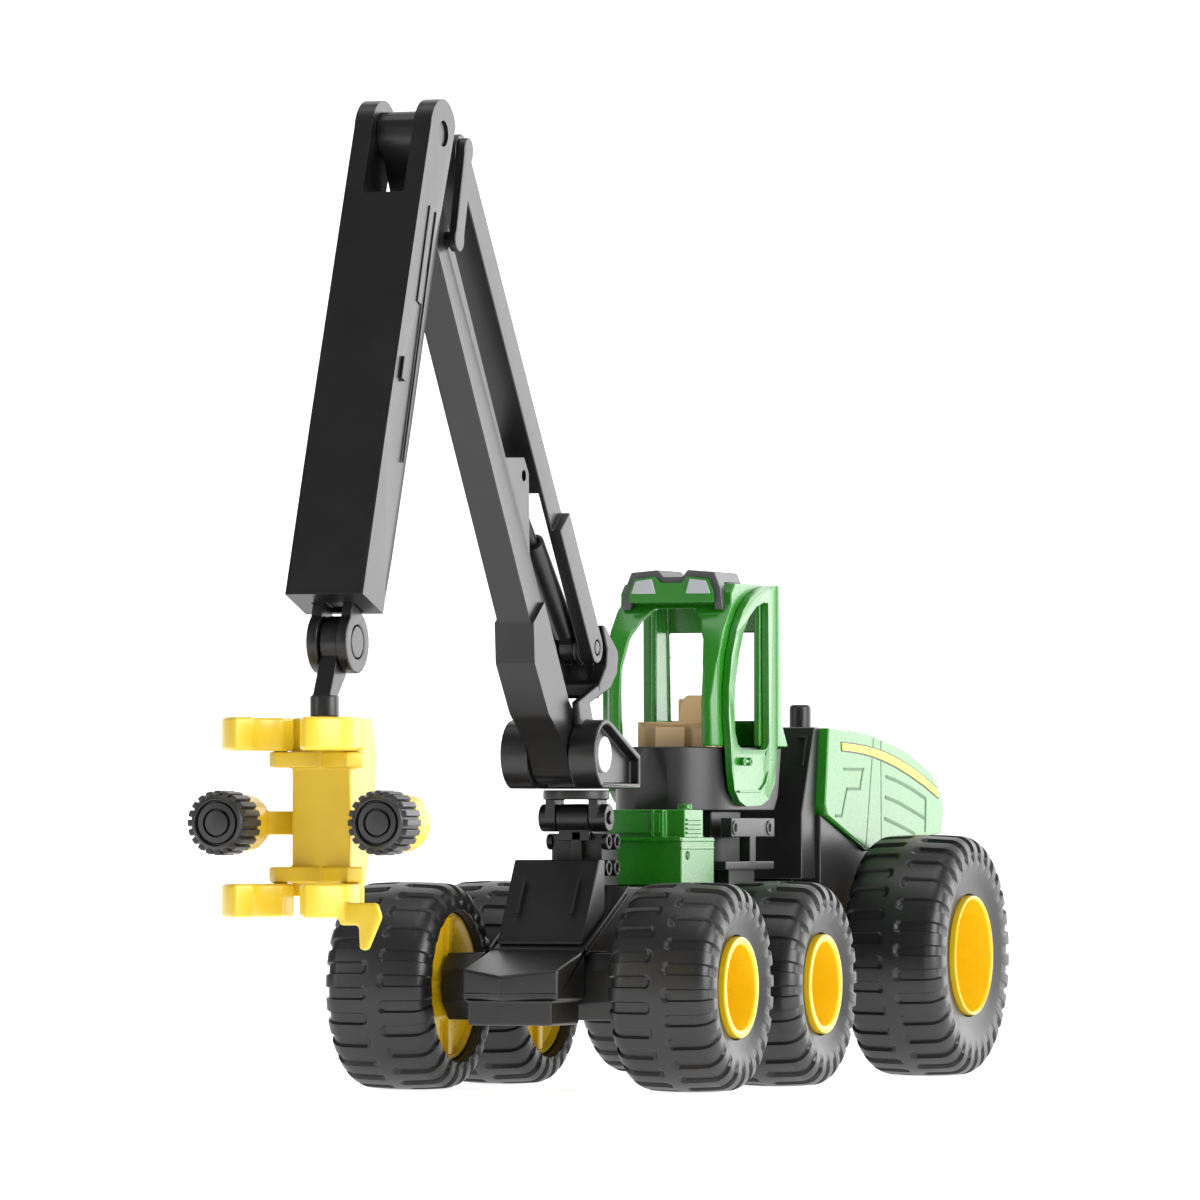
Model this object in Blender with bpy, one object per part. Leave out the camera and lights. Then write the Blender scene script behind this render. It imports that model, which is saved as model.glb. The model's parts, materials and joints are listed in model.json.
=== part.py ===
"""Toy forestry harvester, 1:16: six wheels, articulated frame, tilting and slewing crane.

Metres, +Z up, +X forward (crane end), +Y to the driver's left.
The origin is on the floor, below the middle of the machine's length.
"""
import math

import bmesh
import bpy
from mathutils import Matrix, Vector

MM = 0.001
GAP = 0.3 * MM                    # clearance between pieces that touch
SIDES = (("left", 1), ("right", -1))

# ---- wheels ----------------------------------------------------------------
BOGIE_X = -1.2 * MM               # middle between the two front axles
AXLE_SPACING = 101.3 * MM         # first to second axle
WHEELBASE = 240.7 * MM            # bogie middle to rear axle
FRONT_TYRE_R = 42 * MM
REAR_TYRE_R = 51.5 * MM
TYRE_INNER_Y = 38.5 * MM          # tyre's inner face from the centreline
TYRE_W = 44.5 * MM
TYRE_SHOULDER = 4 * MM
TYRE_SHOULDER_DROP = 1.6          # shoulder chamfer, height to width
TYRE_WALL_SHARE = 0.28            # flat part of the outer wall beside the rim
FRONT_RIM_R = 20.4 * MM
REAR_RIM_R = 25.6 * MM
RIM_DISC_STEP = 9.5 * MM          # inner disc stands this far past the rim's barrel
RIM_INSET = 1.8 * MM              # rim flange inside the tyre's outer face
RIM_DISC_DEPTH = 4.5 * MM         # inner disc inside the tyre's inner face
RIM_DISC_T = 4.5 * MM
RIM_FLANGE = 3.4 * MM
RIM_DISH = 17 * MM
RIM_DISH_SHARE = 0.72             # dish floor to its mouth
AXLE_R = 4 * MM
AXLE_ENGAGE = 9 * MM              # length of the stub inside the rim
WHEEL_SEGMENTS = 28

# ---- front frame, X from the bogie's middle ----------------------------------
FRAME_HALF_W = 20 * MM
FRAME_BOTTOM = 48 * MM
FRAME_TOP = 82 * MM
FRAME_REAR_X = -128 * MM
FRAME_NOSE_X = 64.1 * MM
FRAME_NOSE_Z = 57.3 * MM
FRAME_SLOPE_X = 14 * MM
HOUSING_H = 27 * MM
HOUSING_CHAMFER = 7 * MM
HOUSING_END_GAP = 1.2 * MM        # housing to the wheel's inner disc
BUMPER_NOSE_X = 106.6 * MM
BUMPER_CORNER_X = 95 * MM
BUMPER_HALF_W = 20.5 * MM
BUMPER_TOP_REAR = 57.2 * MM
BUMPER_TOP_FRONT = 46.5 * MM
BUMPER_BOTTOM = 37 * MM
APRON_BOTTOM = 27 * MM
APRON_FRONT_X = 96 * MM
APRON_HALF_W = 18 * MM
COVER_TOP_X = 43 * MM
COVER_TOP_Z = 93 * MM
COVER_HALF_W = 18.4 * MM
COVER_T = 6.5 * MM
COVER_FOOT_X = 62 * MM
COVER_FOOT_H = 1.8 * MM
PIVOT_X = -150 * MM               # articulation
PIVOT_LUG_R = 9 * MM
PIVOT_LUG_T = 8 * MM
PIVOT_PIN_R = 3 * MM

# ---- front box and steps -----------------------------------------------------
BOX_FRONT_X = -25 * MM
BOX_REAR_X = -64 * MM
BOX_HALF_W = 28.5 * MM
BOX_STEP_Z = 102 * MM
BOX_TOP_Z = 113.4 * MM
BOX_STEP_BACK = 4 * MM
BOX_STEP_IN = 9.5 * MM
GRILLE_X = -44 * MM
GRILLE_HALF_L = 11 * MM
GRILLE_W = 8 * MM
GRILLE_CAP_R = 3 * MM
GRILLE_CAP_H = 2.4 * MM
STEP_FRONT_X = -77 * MM
STEP_REAR_X = -136 * MM
STEP_OUT_Y = 29 * MM
STEP_Z = 92 * MM
STEP_T = 3.4 * MM
RAIL_TOP_Z = 110 * MM
RAIL_H = 8 * MM
RAIL_T = 5 * MM
RAIL_FRONT_X = -84 * MM
RAIL_REAR_X = -136.5 * MM
FOOT_INSET = 14 * MM
FOOT_DROP = 21 * MM
POST_X = -110 * MM
POST_HALF_L = 3.5 * MM

# ---- cab: outlines in the side view, X and Z in mm -------------------------------
CAB_REAR_X = -157 * MM
CAB_NOSE = 30 * MM                # length of the tub's rounded nose
NOSE_CENTRE_X = -96 * MM
CAB_HALF_W = 28 * MM
CAB_WALL = 3 * MM
CAB_FLOOR_Z = 113 * MM
CAB_SILL_Z = 139.5 * MM
CAB_ROOF_Z = 208 * MM
TUB_SIDE = [(-156.8, 137.5), (-153, 119), (-148, 113), (-67.5, 113), (-66, 139.5)]
TUB_ROOM = [(-153.6, 141.5), (-150.2, 120), (-146.5, 116), (-70, 116), (-69, 139.5),
            (-69, 141.5)]
PEDESTAL_HALF_W = 17 * MM
PEDESTAL_REAR_X = -128 * MM
PEDESTAL_FRONT_X = -92 * MM
SHELL_SIDE = [(-156.8, 139.8), (-77, 139.8), (-76.4, 158), (-78.6, 174), (-84.5, 188),
              (-95.5, 199), (-95.5, 203.7), (-100, 207.7), (-146, 207.7), (-149, 150)]
SHELL_REAR_POST = [(-156.8, 139.8), (-142.9, 139.8), (-142.9, 207.7), (-146, 207.7), (-149, 150)]
SHELL_ROOM = [(-152, 138), (-80.2, 138), (-79.4, 158), (-81.6, 173), (-87.2, 186),
              (-98.5, 197), (-98.5, 202.5), (-101, 204.7), (-143, 204.7), (-146, 150)]
SIDE_WINDOW = [(-130.5, 138), (-92, 138), (-89.5, 164), (-93, 177), (-100.5, 188.5),
               (-113, 197), (-122, 200), (-130.5, 200.6)]
WINDSCREEN = [(-18, 138), (18, 138), (18, 172), (16.5, 184), (13.5, 192), (9, 197.2),
              (-9, 197.2), (-13.5, 192), (-16.5, 184), (-18, 172)]      # front view, in mm
WINDSCREEN_REAR_X = -106 * MM
FRONT_CORNER_X = (-76 * MM, -84 * MM)       # slanted corner faces, front and rear edges
FRONT_CORNER_Y = (21.5 * MM, 28.1 * MM)
REAR_WINDOW_HALF_W = 21.5 * MM
REAR_WINDOW_LOW = 151 * MM
REAR_WINDOW_HIGH = 188 * MM
REAR_WINDOW_FRONT_X = -139 * MM
DOOR_T = 3 * MM
DOOR_SIDE = [(-142.6, 150), (-142.6, 134), (-139.6, 124.5), (-132.5, 117.8), (-123, 115.2),
             (-105, 114.8), (-96.5, 116.8), (-90.2, 121.5), (-87.4, 129.6), (-86, 139),
             (-83.4, 152), (-83.4, 164), (-87, 177.5), (-93.2, 188.6), (-101, 196.6),
             (-110.5, 202), (-122, 205.6), (-133, 207.2), (-142.6, 207.7)]
DOOR_WINDOW = [(-132.5, 141.5), (-130.5, 139.4), (-126, 138.5), (-99.5, 138.5),
               (-94.3, 140.6), (-91, 146), (-90.2, 158), (-91.6, 166), (-95.8, 178),
               (-101.5, 187.5), (-108.5, 194), (-117, 198.2), (-126, 200.2), (-131.5, 200)]
HINGE_X = -143 * MM
HINGE_Y = 28.6 * MM
VISOR_FRONT_X = -91.5 * MM
VISOR_REAR_X = -120 * MM
VISOR_FACE = [(-22.2, 196.5), (-18.9, 196.5), (-18.2, 200.2), (18.2, 200.2), (18.9, 196.5),
              (22.2, 196.5), (21.2, 205.5), (18.4, 212.3), (6.6, 213.3), (4.2, 210.4),
              (-4.2, 210.4), (-6.6, 213.3), (-18.4, 212.3), (-21.2, 205.5)]   # front view, in mm
VISOR_SEAT = [(-130, 188.2), (-84.1, 188.2), (-95.2, 199.3), (-95.2, 203.8), (-99.9, 208),
              (-130, 208)]
SEAT_REAR_X = -127.5 * MM
SEAT_FRONT_X = -110 * MM
SEAT_HALF_W = 11 * MM
SEAT_BACK_T = 5 * MM
CUSHION_TOP_Z = 138 * MM
SEAT_BACK_TOP_Z = 160 * MM
CONSOLE_REAR_X = -104 * MM
CONSOLE_FRONT_X = -90 * MM
CONSOLE_HALF_W = 15 * MM
CONSOLE_TOP_Z = 150 * MM

# ---- rear body: outlines in the side view, X from the rear axle, in mm ---------------
HOOD_HALF_W = 35 * MM
HOOD_WALL = 3 * MM
HOOD_SIDE = [(52.7, 148.3), (20, 147.2), (-5.3, 145.6), (-47.3, 139.5), (-79.3, 131),
             (-91.9, 125.7), (-99.3, 115), (-95.9, 103.4), (3.7, 96.5), (57.7, 112)]
HOOD_ROOM = [(49.5, 145), (20, 144), (-5.3, 142.5), (-47, 136.4), (-78, 128.2), (-89.8, 123.2),
             (-96, 114.5), (-92.9, 104), (-92.9, 90), (54.3, 90), (54.3, 110)]
BULKHEAD_SIDE = [(53.1, 148.6), (59.7, 148.6), (75.7, 112), (75.7, 84.3), (58.1, 84.3),
                 (58.1, 111.8)]
BULKHEAD_HALF_W = 31 * MM
REAR_DECK_SIDE = [(57.7, 66), (57.7, 111.6), (3.7, 96.1), (-92, 102.7), (-92, 80), (-78, 66)]
REAR_FRAME_HALF_W = 33 * MM
REAR_BEAM_HALF_W = 20 * MM
REAR_BEAM_BOTTOM = 44 * MM
REAR_BEAM_TOP = 84 * MM
REAR_BEAM_FRONT_X = 75.7 * MM
REAR_BEAM_REAR_X = -77 * MM
ENGINE_SIDE = [(36, 105.9), (3.7, 96.6), (-70, 101.7), (-70, 120), (36, 130)]
ENGINE_HALF_W = 24 * MM
EXHAUST_X = -9.3 * MM
EXHAUST_R = 4.6 * MM
EXHAUST_TOP_Z = 159 * MM
EXHAUST_H = 17 * MM
EXHAUST_SEAT = [(-30, 142.35), (-5.3, 145.95), (20, 147.6), (20, 120), (-30, 120)]
TAIL_SIDE = [(-96.3, 103.4), (-99.65, 115), (-101.8, 115), (-101.8, 103.4)]
TAIL_HALF_W = 28 * MM

# ---- crane, X from the bogie's middle -------------------------------------------
SLEW_X = 21.1 * MM
TILT_Z = 109.9 * MM
TILT_BOSS_R = 5.6 * MM
TILT_PIN_R = 2.4 * MM
WEB_HALF_W = 6.8 * MM
FORK_IN_Y = 7.3 * MM
FORK_OUT_Y = 11.3 * MM
FORK_BOSS_Y = 14.5 * MM
SLEW_Z = 121.4 * MM               # face on which the crane head turns
TURNTABLE_R = 13.5 * MM
TURNTABLE_T = 4 * MM
WEB_REAR_X = 5 * MM
WEB_FRONT_X = 15 * MM
WEB_TOP_Z = 113 * MM
PLATE_REAR_X = 2 * MM
PLATE_FRONT_X = 20 * MM
PLATE_OUT_Y = 10.8 * MM
PLATE_TOP_Z = 103.5 * MM
P1_X, P1_Z = 39.8 * MM, 135.4 * MM        # boom foot pin
P2_X, P2_Z = 28.3 * MM, 178.7 * MM        # parallel bar's lower pin
CHEEK_R = 14.2 * MM
CHEEK_OUT_Y = 20.5 * MM
CHEEK_IN_Y = 8.9 * MM
CHEEK_REAR_X = 1 * MM
CHEEK_RIM = 2.2 * MM
CHEEK_POCKET = 4 * MM
CHEEK_WALL = 3 * MM
CHEEK_TANGENT_DEG = 110.6
BASE_PLATE_TOP_Z = 127 * MM
BASE_PLATE_FRONT_X = 30 * MM
PIN_HEAD_R = 7.4 * MM
PIN_R = 4 * MM
PIN_HEAD_T = 3 * MM
BRACKET_OUT_Y = 12 * MM
BRACKET_WEB_Y = 6 * MM
BRACKET_SLOT_Y = 3.4 * MM
BRACKET_EYE_R = 6.4 * MM
HORN_REAR = [(26, 164), (26, 158.9), (12.9, 162.5), (5.4, 168.5), (3.8, 175), (4.5, 178),
             (19.4, 188), (22.6, 187.9), (16.7, 178), (17.6, 172)]       # side view, in mm
HORN_FRONT = [(27, 163.6), (24, 159.5), (36, 156.2), (31, 146), (47.5, 146), (50, 156.5)]
HORN_WEB_L = 14 * MM
BOOM_LENGTH = 292.8 * MM
BOOM_ANGLE = math.radians(55)
BOOM_HALF_W = 7.1 * MM
BOOM_FOOT_HALF_W = 8.4 * MM
BOOM_FRONT = 11.7 * MM            # boom's front face from the pin line
BOOM_BACK = 3 * MM
BOOM_FOOT_SIDE = [(11, -11), (27, -16.4), (32.5, -18.7), (58, -20), (72, -11.7)]
BOOM_TAPER = 24 * MM
BOOM_HUB_HALF_W = 8.3 * MM
BOOM_FOOT_R = 12 * MM
BOOM_HUB_R = 9 * MM
LUG_SIDE = [(95, 2), (95, 3), (122, 20.7), (130, 20), (141, 3), (141, 2)]
LUG_HOLE_R = 2.4 * MM
LUG_U, LUG_V = 124.2 * MM, 15.7 * MM      # lift cylinder's lug, along and behind the pin line
LUG_IN_Y = 3.8 * MM
LINK_U = 244.7 * MM
LINK_LENGTH = 36.7 * MM
LINK_ANGLE = math.radians(105.5)
LINK_IN_Y = 8.9 * MM
LINK_OUT_Y = 12 * MM
LINK_EYE_R = 5 * MM
LINK_PIN_R = 3 * MM
BAR_ANGLE = math.radians(53.8)
BAR_LENGTH = 238.7 * MM
BAR_HALF_W = 8.5 * MM
BAR_HALF_D = 6.5 * MM
BAR_EYE_R = 6.4 * MM
BAR_FORK_LENGTH = 80 * MM
BAR_FORK_IN_Y = 6.4 * MM
BAR_FORK_OUT_Y = 12 * MM
BAR_THICK_LENGTH = 62 * MM
LIFT_ANGLE = math.radians(44)
LIFT_LENGTH = 97.1 * MM
TUBE_R = 5 * MM
TUBE_START = 9 * MM
TUBE_LENGTH = 60 * MM
ROD_R = 2.6 * MM
ROD_ENGAGE = 38 * MM
ROD_EYE_Y = 3.2 * MM
ROD_EYE_R = 5 * MM
STICK_LENGTH = 210.4 * MM
STICK_LEAN = math.radians(19.2)
STICK_HALF_W = 16 * MM
STICK_EAR_T = 7.4 * MM
STICK_EAR_R = 13.5 * MM
STICK_PIN_R = 4.8 * MM
STICK_NOTCH = 30 * MM
STICK_FRONT_END = 19 * MM
STICK_FRONT = [(126, 17.5), (20, 14)]                     # down and to the front, in mm
STICK_BACK = [(30, -8), (117, -6.5), (175, -4.4), (192, -3)]
STICK_END = 197.8 * MM
BORE_TOP = 85 * MM
BORE_HALF_Y = 8.8 * MM
BORE_FRONT, BORE_BACK = 10 * MM, 1.2 * MM
TONGUE_HALF_Y = 8.3 * MM
TONGUE_TOP = 90 * MM
TIP_EYE_R = 12 * MM
TIP_HOLE_R = 6.5 * MM
TIP_SLOT_Y = 4 * MM

# ---- harvester head, X from the bogie's middle --------------------------------------
HANGER_HALF_Y = 3.6 * MM
HANGER_EYE_R = 10 * MM
ROTATOR_X = 290 * MM
ROTATOR_R = 5.5 * MM
ROTATOR_Z = 148 * MM
ROTATOR_H = 8 * MM
HEAD_SIDE = [(293.6, 147.5), (271, 147.5), (265.5, 133), (267, 122), (273, 96), (278, 84),
             (281, 79.6), (293.6, 79.6)]                  # side view, in mm
HEAD_FRONT_X = 293.6 * MM
HEAD_HALF_W = 12 * MM
GRIP_X = 322.5 * MM               # centre of the gripped stem
CLAW_IN_R = 17 * MM
CLAW_OUT_R = 26.5 * MM
CLAW_TIP_DEG = 32
CLAW_ROOT_DEG = 146
CLAW_T = 12.6 * MM
CLAW_HUB_R = 5 * MM
UPPER_CLAW_Z = 141.2 * MM
LOWER_CLAW_Z = 78.3 * MM
CLAW_LUG_T = 6 * MM
CLAW_PIVOT_X, CLAW_PIVOT_Y = 298.5 * MM, 14.5 * MM
CLAW_PIN_R = 2.2 * MM
ROLLER_Y = 32.8 * MM
ROLLER_Z = 107.6 * MM
ROLLER_R = 12.4 * MM
ROLLER_FRONT_X = 318.6 * MM
ROLLER_LENGTH = 16 * MM
ROLLER_GAP = 0.6 * MM
ROLLER_STUB_R = 3 * MM
MOTOR_R = 11 * MM
MOTOR_LENGTH = 12 * MM
ARM_HUB_R = 4.5 * MM
ARM_HUB_X, ARM_HUB_Y = 281 * MM, 16.8 * MM
ARM_T = 9 * MM
GUARD_X = 330 * MM
GUARD_T = 3 * MM
GUARD_FACE = [(21.6, 77.6), (38.2, 77.6), (40, 72.2), (34.4, 59.6), (30.9, 60), (30.5, 69.1),
              (22.8, 69.1)]                               # Y and Z, in mm
SHARP_DEG = 35


# ---- materials -------------------------------------------------------------
def material(name, colour, roughness, metallic=0.0):
    mat = bpy.data.materials.new(name)
    mat.use_nodes = True
    shader = mat.node_tree.nodes["Principled BSDF"]
    shader.inputs["Base Color"].default_value = (*colour, 1)
    shader.inputs["Roughness"].default_value = roughness
    shader.inputs["Metallic"].default_value = metallic
    return mat


# ---- shape tools -----------------------------------------------------------
def as_mesh(name, bm):
    bmesh.ops.remove_doubles(bm, verts=bm.verts, dist=0.01 * MM)
    bmesh.ops.recalc_face_normals(bm, faces=bm.faces)
    mesh = bpy.data.meshes.new(name)
    bm.to_mesh(mesh)
    bm.free()
    return mesh


def prism(outline, low, high, axis="Y"):
    """Extrude a flat outline. axis Y: (x, z) points; Z: (x, y) points; X: (y, z) points."""
    place = {"Y": lambda a, b: (a, low, b), "Z": lambda a, b: (a, b, low),
             "X": lambda a, b: (low, a, b)}[axis]
    along = {"Y": Vector((0, 1, 0)), "Z": Vector((0, 0, 1)), "X": Vector((1, 0, 0))}[axis]
    bm = bmesh.new()
    face = bm.faces.new([bm.verts.new(place(a, b)) for a, b in outline])
    made = bmesh.ops.extrude_face_region(bm, geom=[face])["geom"]
    moved = [item for item in made if isinstance(item, bmesh.types.BMVert)]
    bmesh.ops.translate(bm, verts=moved, vec=along * (high - low))
    return as_mesh("prism", bm)


def box(x0, x1, y0, y1, z0, z1):
    return prism([(x0, z0), (x1, z0), (x1, z1), (x0, z1)], y0, y1)


def arc(centre, radius, start, stop, steps):
    """Points on an arc, angles in degrees."""
    span = math.radians(stop - start)
    return [(centre[0] + radius * math.cos(math.radians(start) + span * i / steps),
             centre[1] + radius * math.sin(math.radians(start) + span * i / steps))
            for i in range(steps + 1)]


def disc(centre, radius, low, high, axis="Y", steps=20):
    return prism(arc(centre, radius, 0, 360, steps)[:-1], low, high, axis)


def turned(profile, segments, closed=False):
    """Spin (y, radius) points about the Y axis; a flat lies at the bottom."""
    bm = bmesh.new()
    start = Matrix.Rotation(math.pi / segments, 4, "Y")
    verts = [bm.verts.new(start @ Vector((0, y, -r))) for y, r in profile]
    ends = verts[1:] + verts[:1] if closed else verts[1:]
    edges = [bm.edges.new(pair) for pair in zip(verts, ends)]
    bmesh.ops.spin(bm, geom=verts + edges, axis=(0, 1, 0), cent=(0, 0, 0),
                   angle=2 * math.pi, steps=segments, use_merge=True)
    return as_mesh("turned", bm)


def rod(a, b, radius, steps=16):
    """A round bar between two points."""
    along = Vector(b) - Vector(a)
    bm = bmesh.new()
    bmesh.ops.create_cone(bm, cap_ends=True, segments=steps, radius1=radius, radius2=radius,
                          depth=along.length)
    turn = along.to_track_quat("Z", "Y").to_matrix().to_4x4()
    middle = (Vector(a) + Vector(b)) / 2
    bmesh.ops.transform(bm, matrix=Matrix.Translation(middle) @ turn, verts=bm.verts)
    return as_mesh("rod", bm)


def mirrored(mesh):
    """The same shape on the other side of the centreline."""
    bm = bmesh.new()
    bm.from_mesh(mesh)
    bmesh.ops.scale(bm, vec=(1, -1, 1), verts=bm.verts)
    return as_mesh("mirrored", bm)


def combined(first, others, operation):
    """Union or difference of meshes, as a new mesh."""
    base = bpy.data.objects.new("base", first)
    bpy.context.collection.objects.link(base)
    tools = []
    for mesh in others:
        tool = bpy.data.objects.new("tool", mesh)
        bpy.context.collection.objects.link(tool)
        tools.append(tool)
        step = base.modifiers.new(operation, "BOOLEAN")
        step.operation = operation
        step.object = tool
    graph = bpy.context.evaluated_depsgraph_get()
    result = bpy.data.meshes.new_from_object(base.evaluated_get(graph))
    for item in [base, *tools]:
        bpy.data.objects.remove(item)
    return result


def joined(first, *others):
    return combined(first, others, "UNION")


def cut(first, *others):
    return combined(first, others, "DIFFERENCE")


def add(name, mesh, mat, parent, frame=None):
    """Place a finished piece whose mesh was drawn in frame, or in the machine's frame."""
    mesh.materials.clear()
    mesh.materials.append(mat)
    mesh.shade_smooth()
    mesh.set_sharp_from_angle(angle=math.radians(SHARP_DEG))
    piece = bpy.data.objects.new(name, mesh)
    bpy.context.collection.objects.link(piece)
    piece.parent = parent
    piece.matrix_basis = placed(parent).inverted() @ (frame or Matrix.Identity(4))
    return piece


def placed(item):
    """An object's place in the machine's frame, below the root."""
    if item.parent is None:
        return Matrix.Identity(4)
    return placed(item.parent) @ item.matrix_basis


def at(x, y, z, angle=0.0):
    """A frame at a point, its X axis turned nose up by the angle."""
    return Matrix.Translation((x, y, z)) @ Matrix.Rotation(-angle, 4, "Y")


def pivot(name, parent, frame):
    """An empty on a joint's axis."""
    item = bpy.data.objects.new(name, None)
    bpy.context.collection.objects.link(item)
    item.parent = parent
    item.matrix_basis = placed(parent).inverted() @ frame
    return item


def scaled(points):
    return [(a * MM, b * MM) for a, b in points]


# ---- wheels ----------------------------------------------------------------
def flat_radius(radius):
    """Vertex radius of a turned part whose flats lie at the given radius."""
    return radius / math.cos(math.pi / WHEEL_SEGMENTS)


def tyre_mesh(tyre_r, rim_r):
    crown = flat_radius(tyre_r)
    disc_r = flat_radius(rim_r + RIM_DISC_STEP + GAP)
    seat_r = flat_radius(rim_r + GAP)
    step_y = RIM_DISC_DEPTH + RIM_DISC_T + GAP
    wall = (tyre_r - rim_r) * TYRE_WALL_SHARE
    chamfer = TYRE_SHOULDER * TYRE_SHOULDER_DROP
    return turned([(0, disc_r), (0, crown - chamfer), (TYRE_SHOULDER, crown),
                   (TYRE_W - TYRE_SHOULDER, crown), (TYRE_W, crown - chamfer),
                   (TYRE_W, seat_r + wall), (TYRE_W - RIM_INSET, seat_r),
                   (step_y, seat_r), (step_y, disc_r)], WHEEL_SEGMENTS, closed=True)


def rim_mesh(rim_r):
    disc_y = RIM_DISC_DEPTH
    outer = TYRE_W - RIM_INSET
    dish_y = outer - RIM_DISH
    bore = AXLE_R + GAP
    bore_end = disc_y + AXLE_ENGAGE + GAP
    mouth = rim_r - RIM_FLANGE
    back_r = rim_r + RIM_DISC_STEP
    return turned([(bore_end, 0), (bore_end, bore), (disc_y, bore), (disc_y, back_r),
                   (disc_y + RIM_DISC_T, back_r), (disc_y + RIM_DISC_T, rim_r), (outer, rim_r),
                   (outer, mouth), (dish_y, mouth * RIM_DISH_SHARE), (dish_y, 0)], WHEEL_SEGMENTS)


def wheel_rows(front_root, rear_root):
    return (("front", AXLE_SPACING / 2, FRONT_TYRE_R, FRONT_RIM_R, front_root),
            ("middle", -AXLE_SPACING / 2, FRONT_TYRE_R, FRONT_RIM_R, front_root),
            ("rear", -WHEELBASE, REAR_TYRE_R, REAR_RIM_R, rear_root))


def wheels(rubber, yellow, front_root, rear_root):
    for row, x, tyre_r, rim_r, root in wheel_rows(front_root, rear_root):
        for side, sign in SIDES:
            tyre = tyre_mesh(tyre_r, rim_r)
            rim = rim_mesh(rim_r)
            if sign < 0:
                tyre, rim = mirrored(tyre), mirrored(rim)
            frame = at(x, sign * TYRE_INNER_Y, tyre_r)
            add(f"{row}_{side}_tyre", tyre, rubber, root, frame)
            add(f"{row}_{side}_rim", rim, yellow, root, frame)


def axles(black, front_root, rear_root):
    """Octagonal housings with a round stub for each wheel."""
    half_h = HOUSING_H / 2
    flat = half_h - HOUSING_CHAMFER
    hub_y = TYRE_INNER_Y + RIM_DISC_DEPTH - HOUSING_END_GAP
    stub_y = TYRE_INNER_Y + RIM_DISC_DEPTH + AXLE_ENGAGE
    outline = [(-half_h, -flat), (-flat, -half_h), (flat, -half_h), (half_h, -flat),
               (half_h, flat), (flat, half_h), (-flat, half_h), (-half_h, flat)]
    for row, x, tyre_r, _, root in wheel_rows(front_root, rear_root):
        mesh = joined(prism(outline, -hub_y, hub_y),
                      disc((0, 0), AXLE_R, -stub_y, stub_y, steps=16))
        add(f"{row}_axle", mesh, black, root, at(x, 0, tyre_r))


def axle_saddle(x, tyre_r):
    """Room for an axle housing under a frame."""
    clear = HOUSING_H / 2 + GAP
    return box(x - clear, x + clear, -TYRE_INNER_Y, TYRE_INNER_Y, 0, tyre_r + clear)


# ---- front body ------------------------------------------------------------
def frame_slope(x):
    """Height of the front frame's top at x, in front of the level part."""
    fall = (FRAME_TOP - FRAME_NOSE_Z) / (FRAME_NOSE_X - FRAME_SLOPE_X)
    return FRAME_TOP - fall * (x - FRAME_SLOPE_X)


def front_frame(black, root):
    side = [(FRAME_REAR_X, FRAME_BOTTOM), (FRAME_NOSE_X, FRAME_BOTTOM),
            (FRAME_NOSE_X, FRAME_NOSE_Z), (FRAME_SLOPE_X, FRAME_TOP), (FRAME_REAR_X, FRAME_TOP)]
    beam = prism(side, -FRAME_HALF_W, FRAME_HALF_W)
    saddles = [axle_saddle(sign * AXLE_SPACING / 2, FRONT_TYRE_R) for sign in (1, -1)]
    lugs = []
    for z in (FRAME_BOTTOM, FRAME_TOP - PIVOT_LUG_T):
        lugs.append(box(PIVOT_X, FRAME_REAR_X + MM, -PIVOT_LUG_R, PIVOT_LUG_R, z, z + PIVOT_LUG_T))
        lugs.append(disc((PIVOT_X, 0), PIVOT_LUG_R, z, z + PIVOT_LUG_T, "Z"))
    bore = disc((PIVOT_X, 0), PIVOT_PIN_R + GAP, 0, 2 * FRAME_TOP, "Z")
    add("front_frame", cut(joined(cut(beam, *saddles), *lugs), bore), black, root)


def bumper(black, root):
    rear = FRAME_NOSE_X + GAP
    w = BUMPER_HALF_W
    plan = [(rear, -w), (BUMPER_CORNER_X, -w), (BUMPER_NOSE_X, 0), (BUMPER_CORNER_X, w), (rear, w)]
    wedge = prism(plan, BUMPER_BOTTOM, BUMPER_TOP_REAR + MM, "Z")
    slope = prism([(rear - MM, BUMPER_TOP_REAR), (BUMPER_NOSE_X + MM, BUMPER_TOP_FRONT),
                   (BUMPER_NOSE_X + MM, BUMPER_TOP_REAR + 2 * MM),
                   (rear - MM, BUMPER_TOP_REAR + 2 * MM)], -2 * w, 2 * w)
    apron = box(rear, APRON_FRONT_X, -APRON_HALF_W, APRON_HALF_W, APRON_BOTTOM,
                BUMPER_BOTTOM + MM)
    housing = axle_saddle(AXLE_SPACING / 2, FRONT_TYRE_R)
    add("front_bumper", cut(joined(cut(wedge, slope), apron), housing), black, root)


def crane_foot_cover(black, root):
    """Sloping guard in front of the crane's foot, standing on the frame's sloped nose."""
    rear_x = COVER_TOP_X - COVER_T
    outline = [(rear_x, frame_slope(rear_x) + GAP), (COVER_FOOT_X, frame_slope(COVER_FOOT_X) + GAP),
               (COVER_FOOT_X, frame_slope(COVER_FOOT_X) + COVER_FOOT_H),
               (COVER_TOP_X, COVER_TOP_Z), (rear_x, COVER_TOP_Z)]
    add("crane_foot_cover", prism(outline, -COVER_HALF_W, COVER_HALF_W), black, root)


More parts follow.
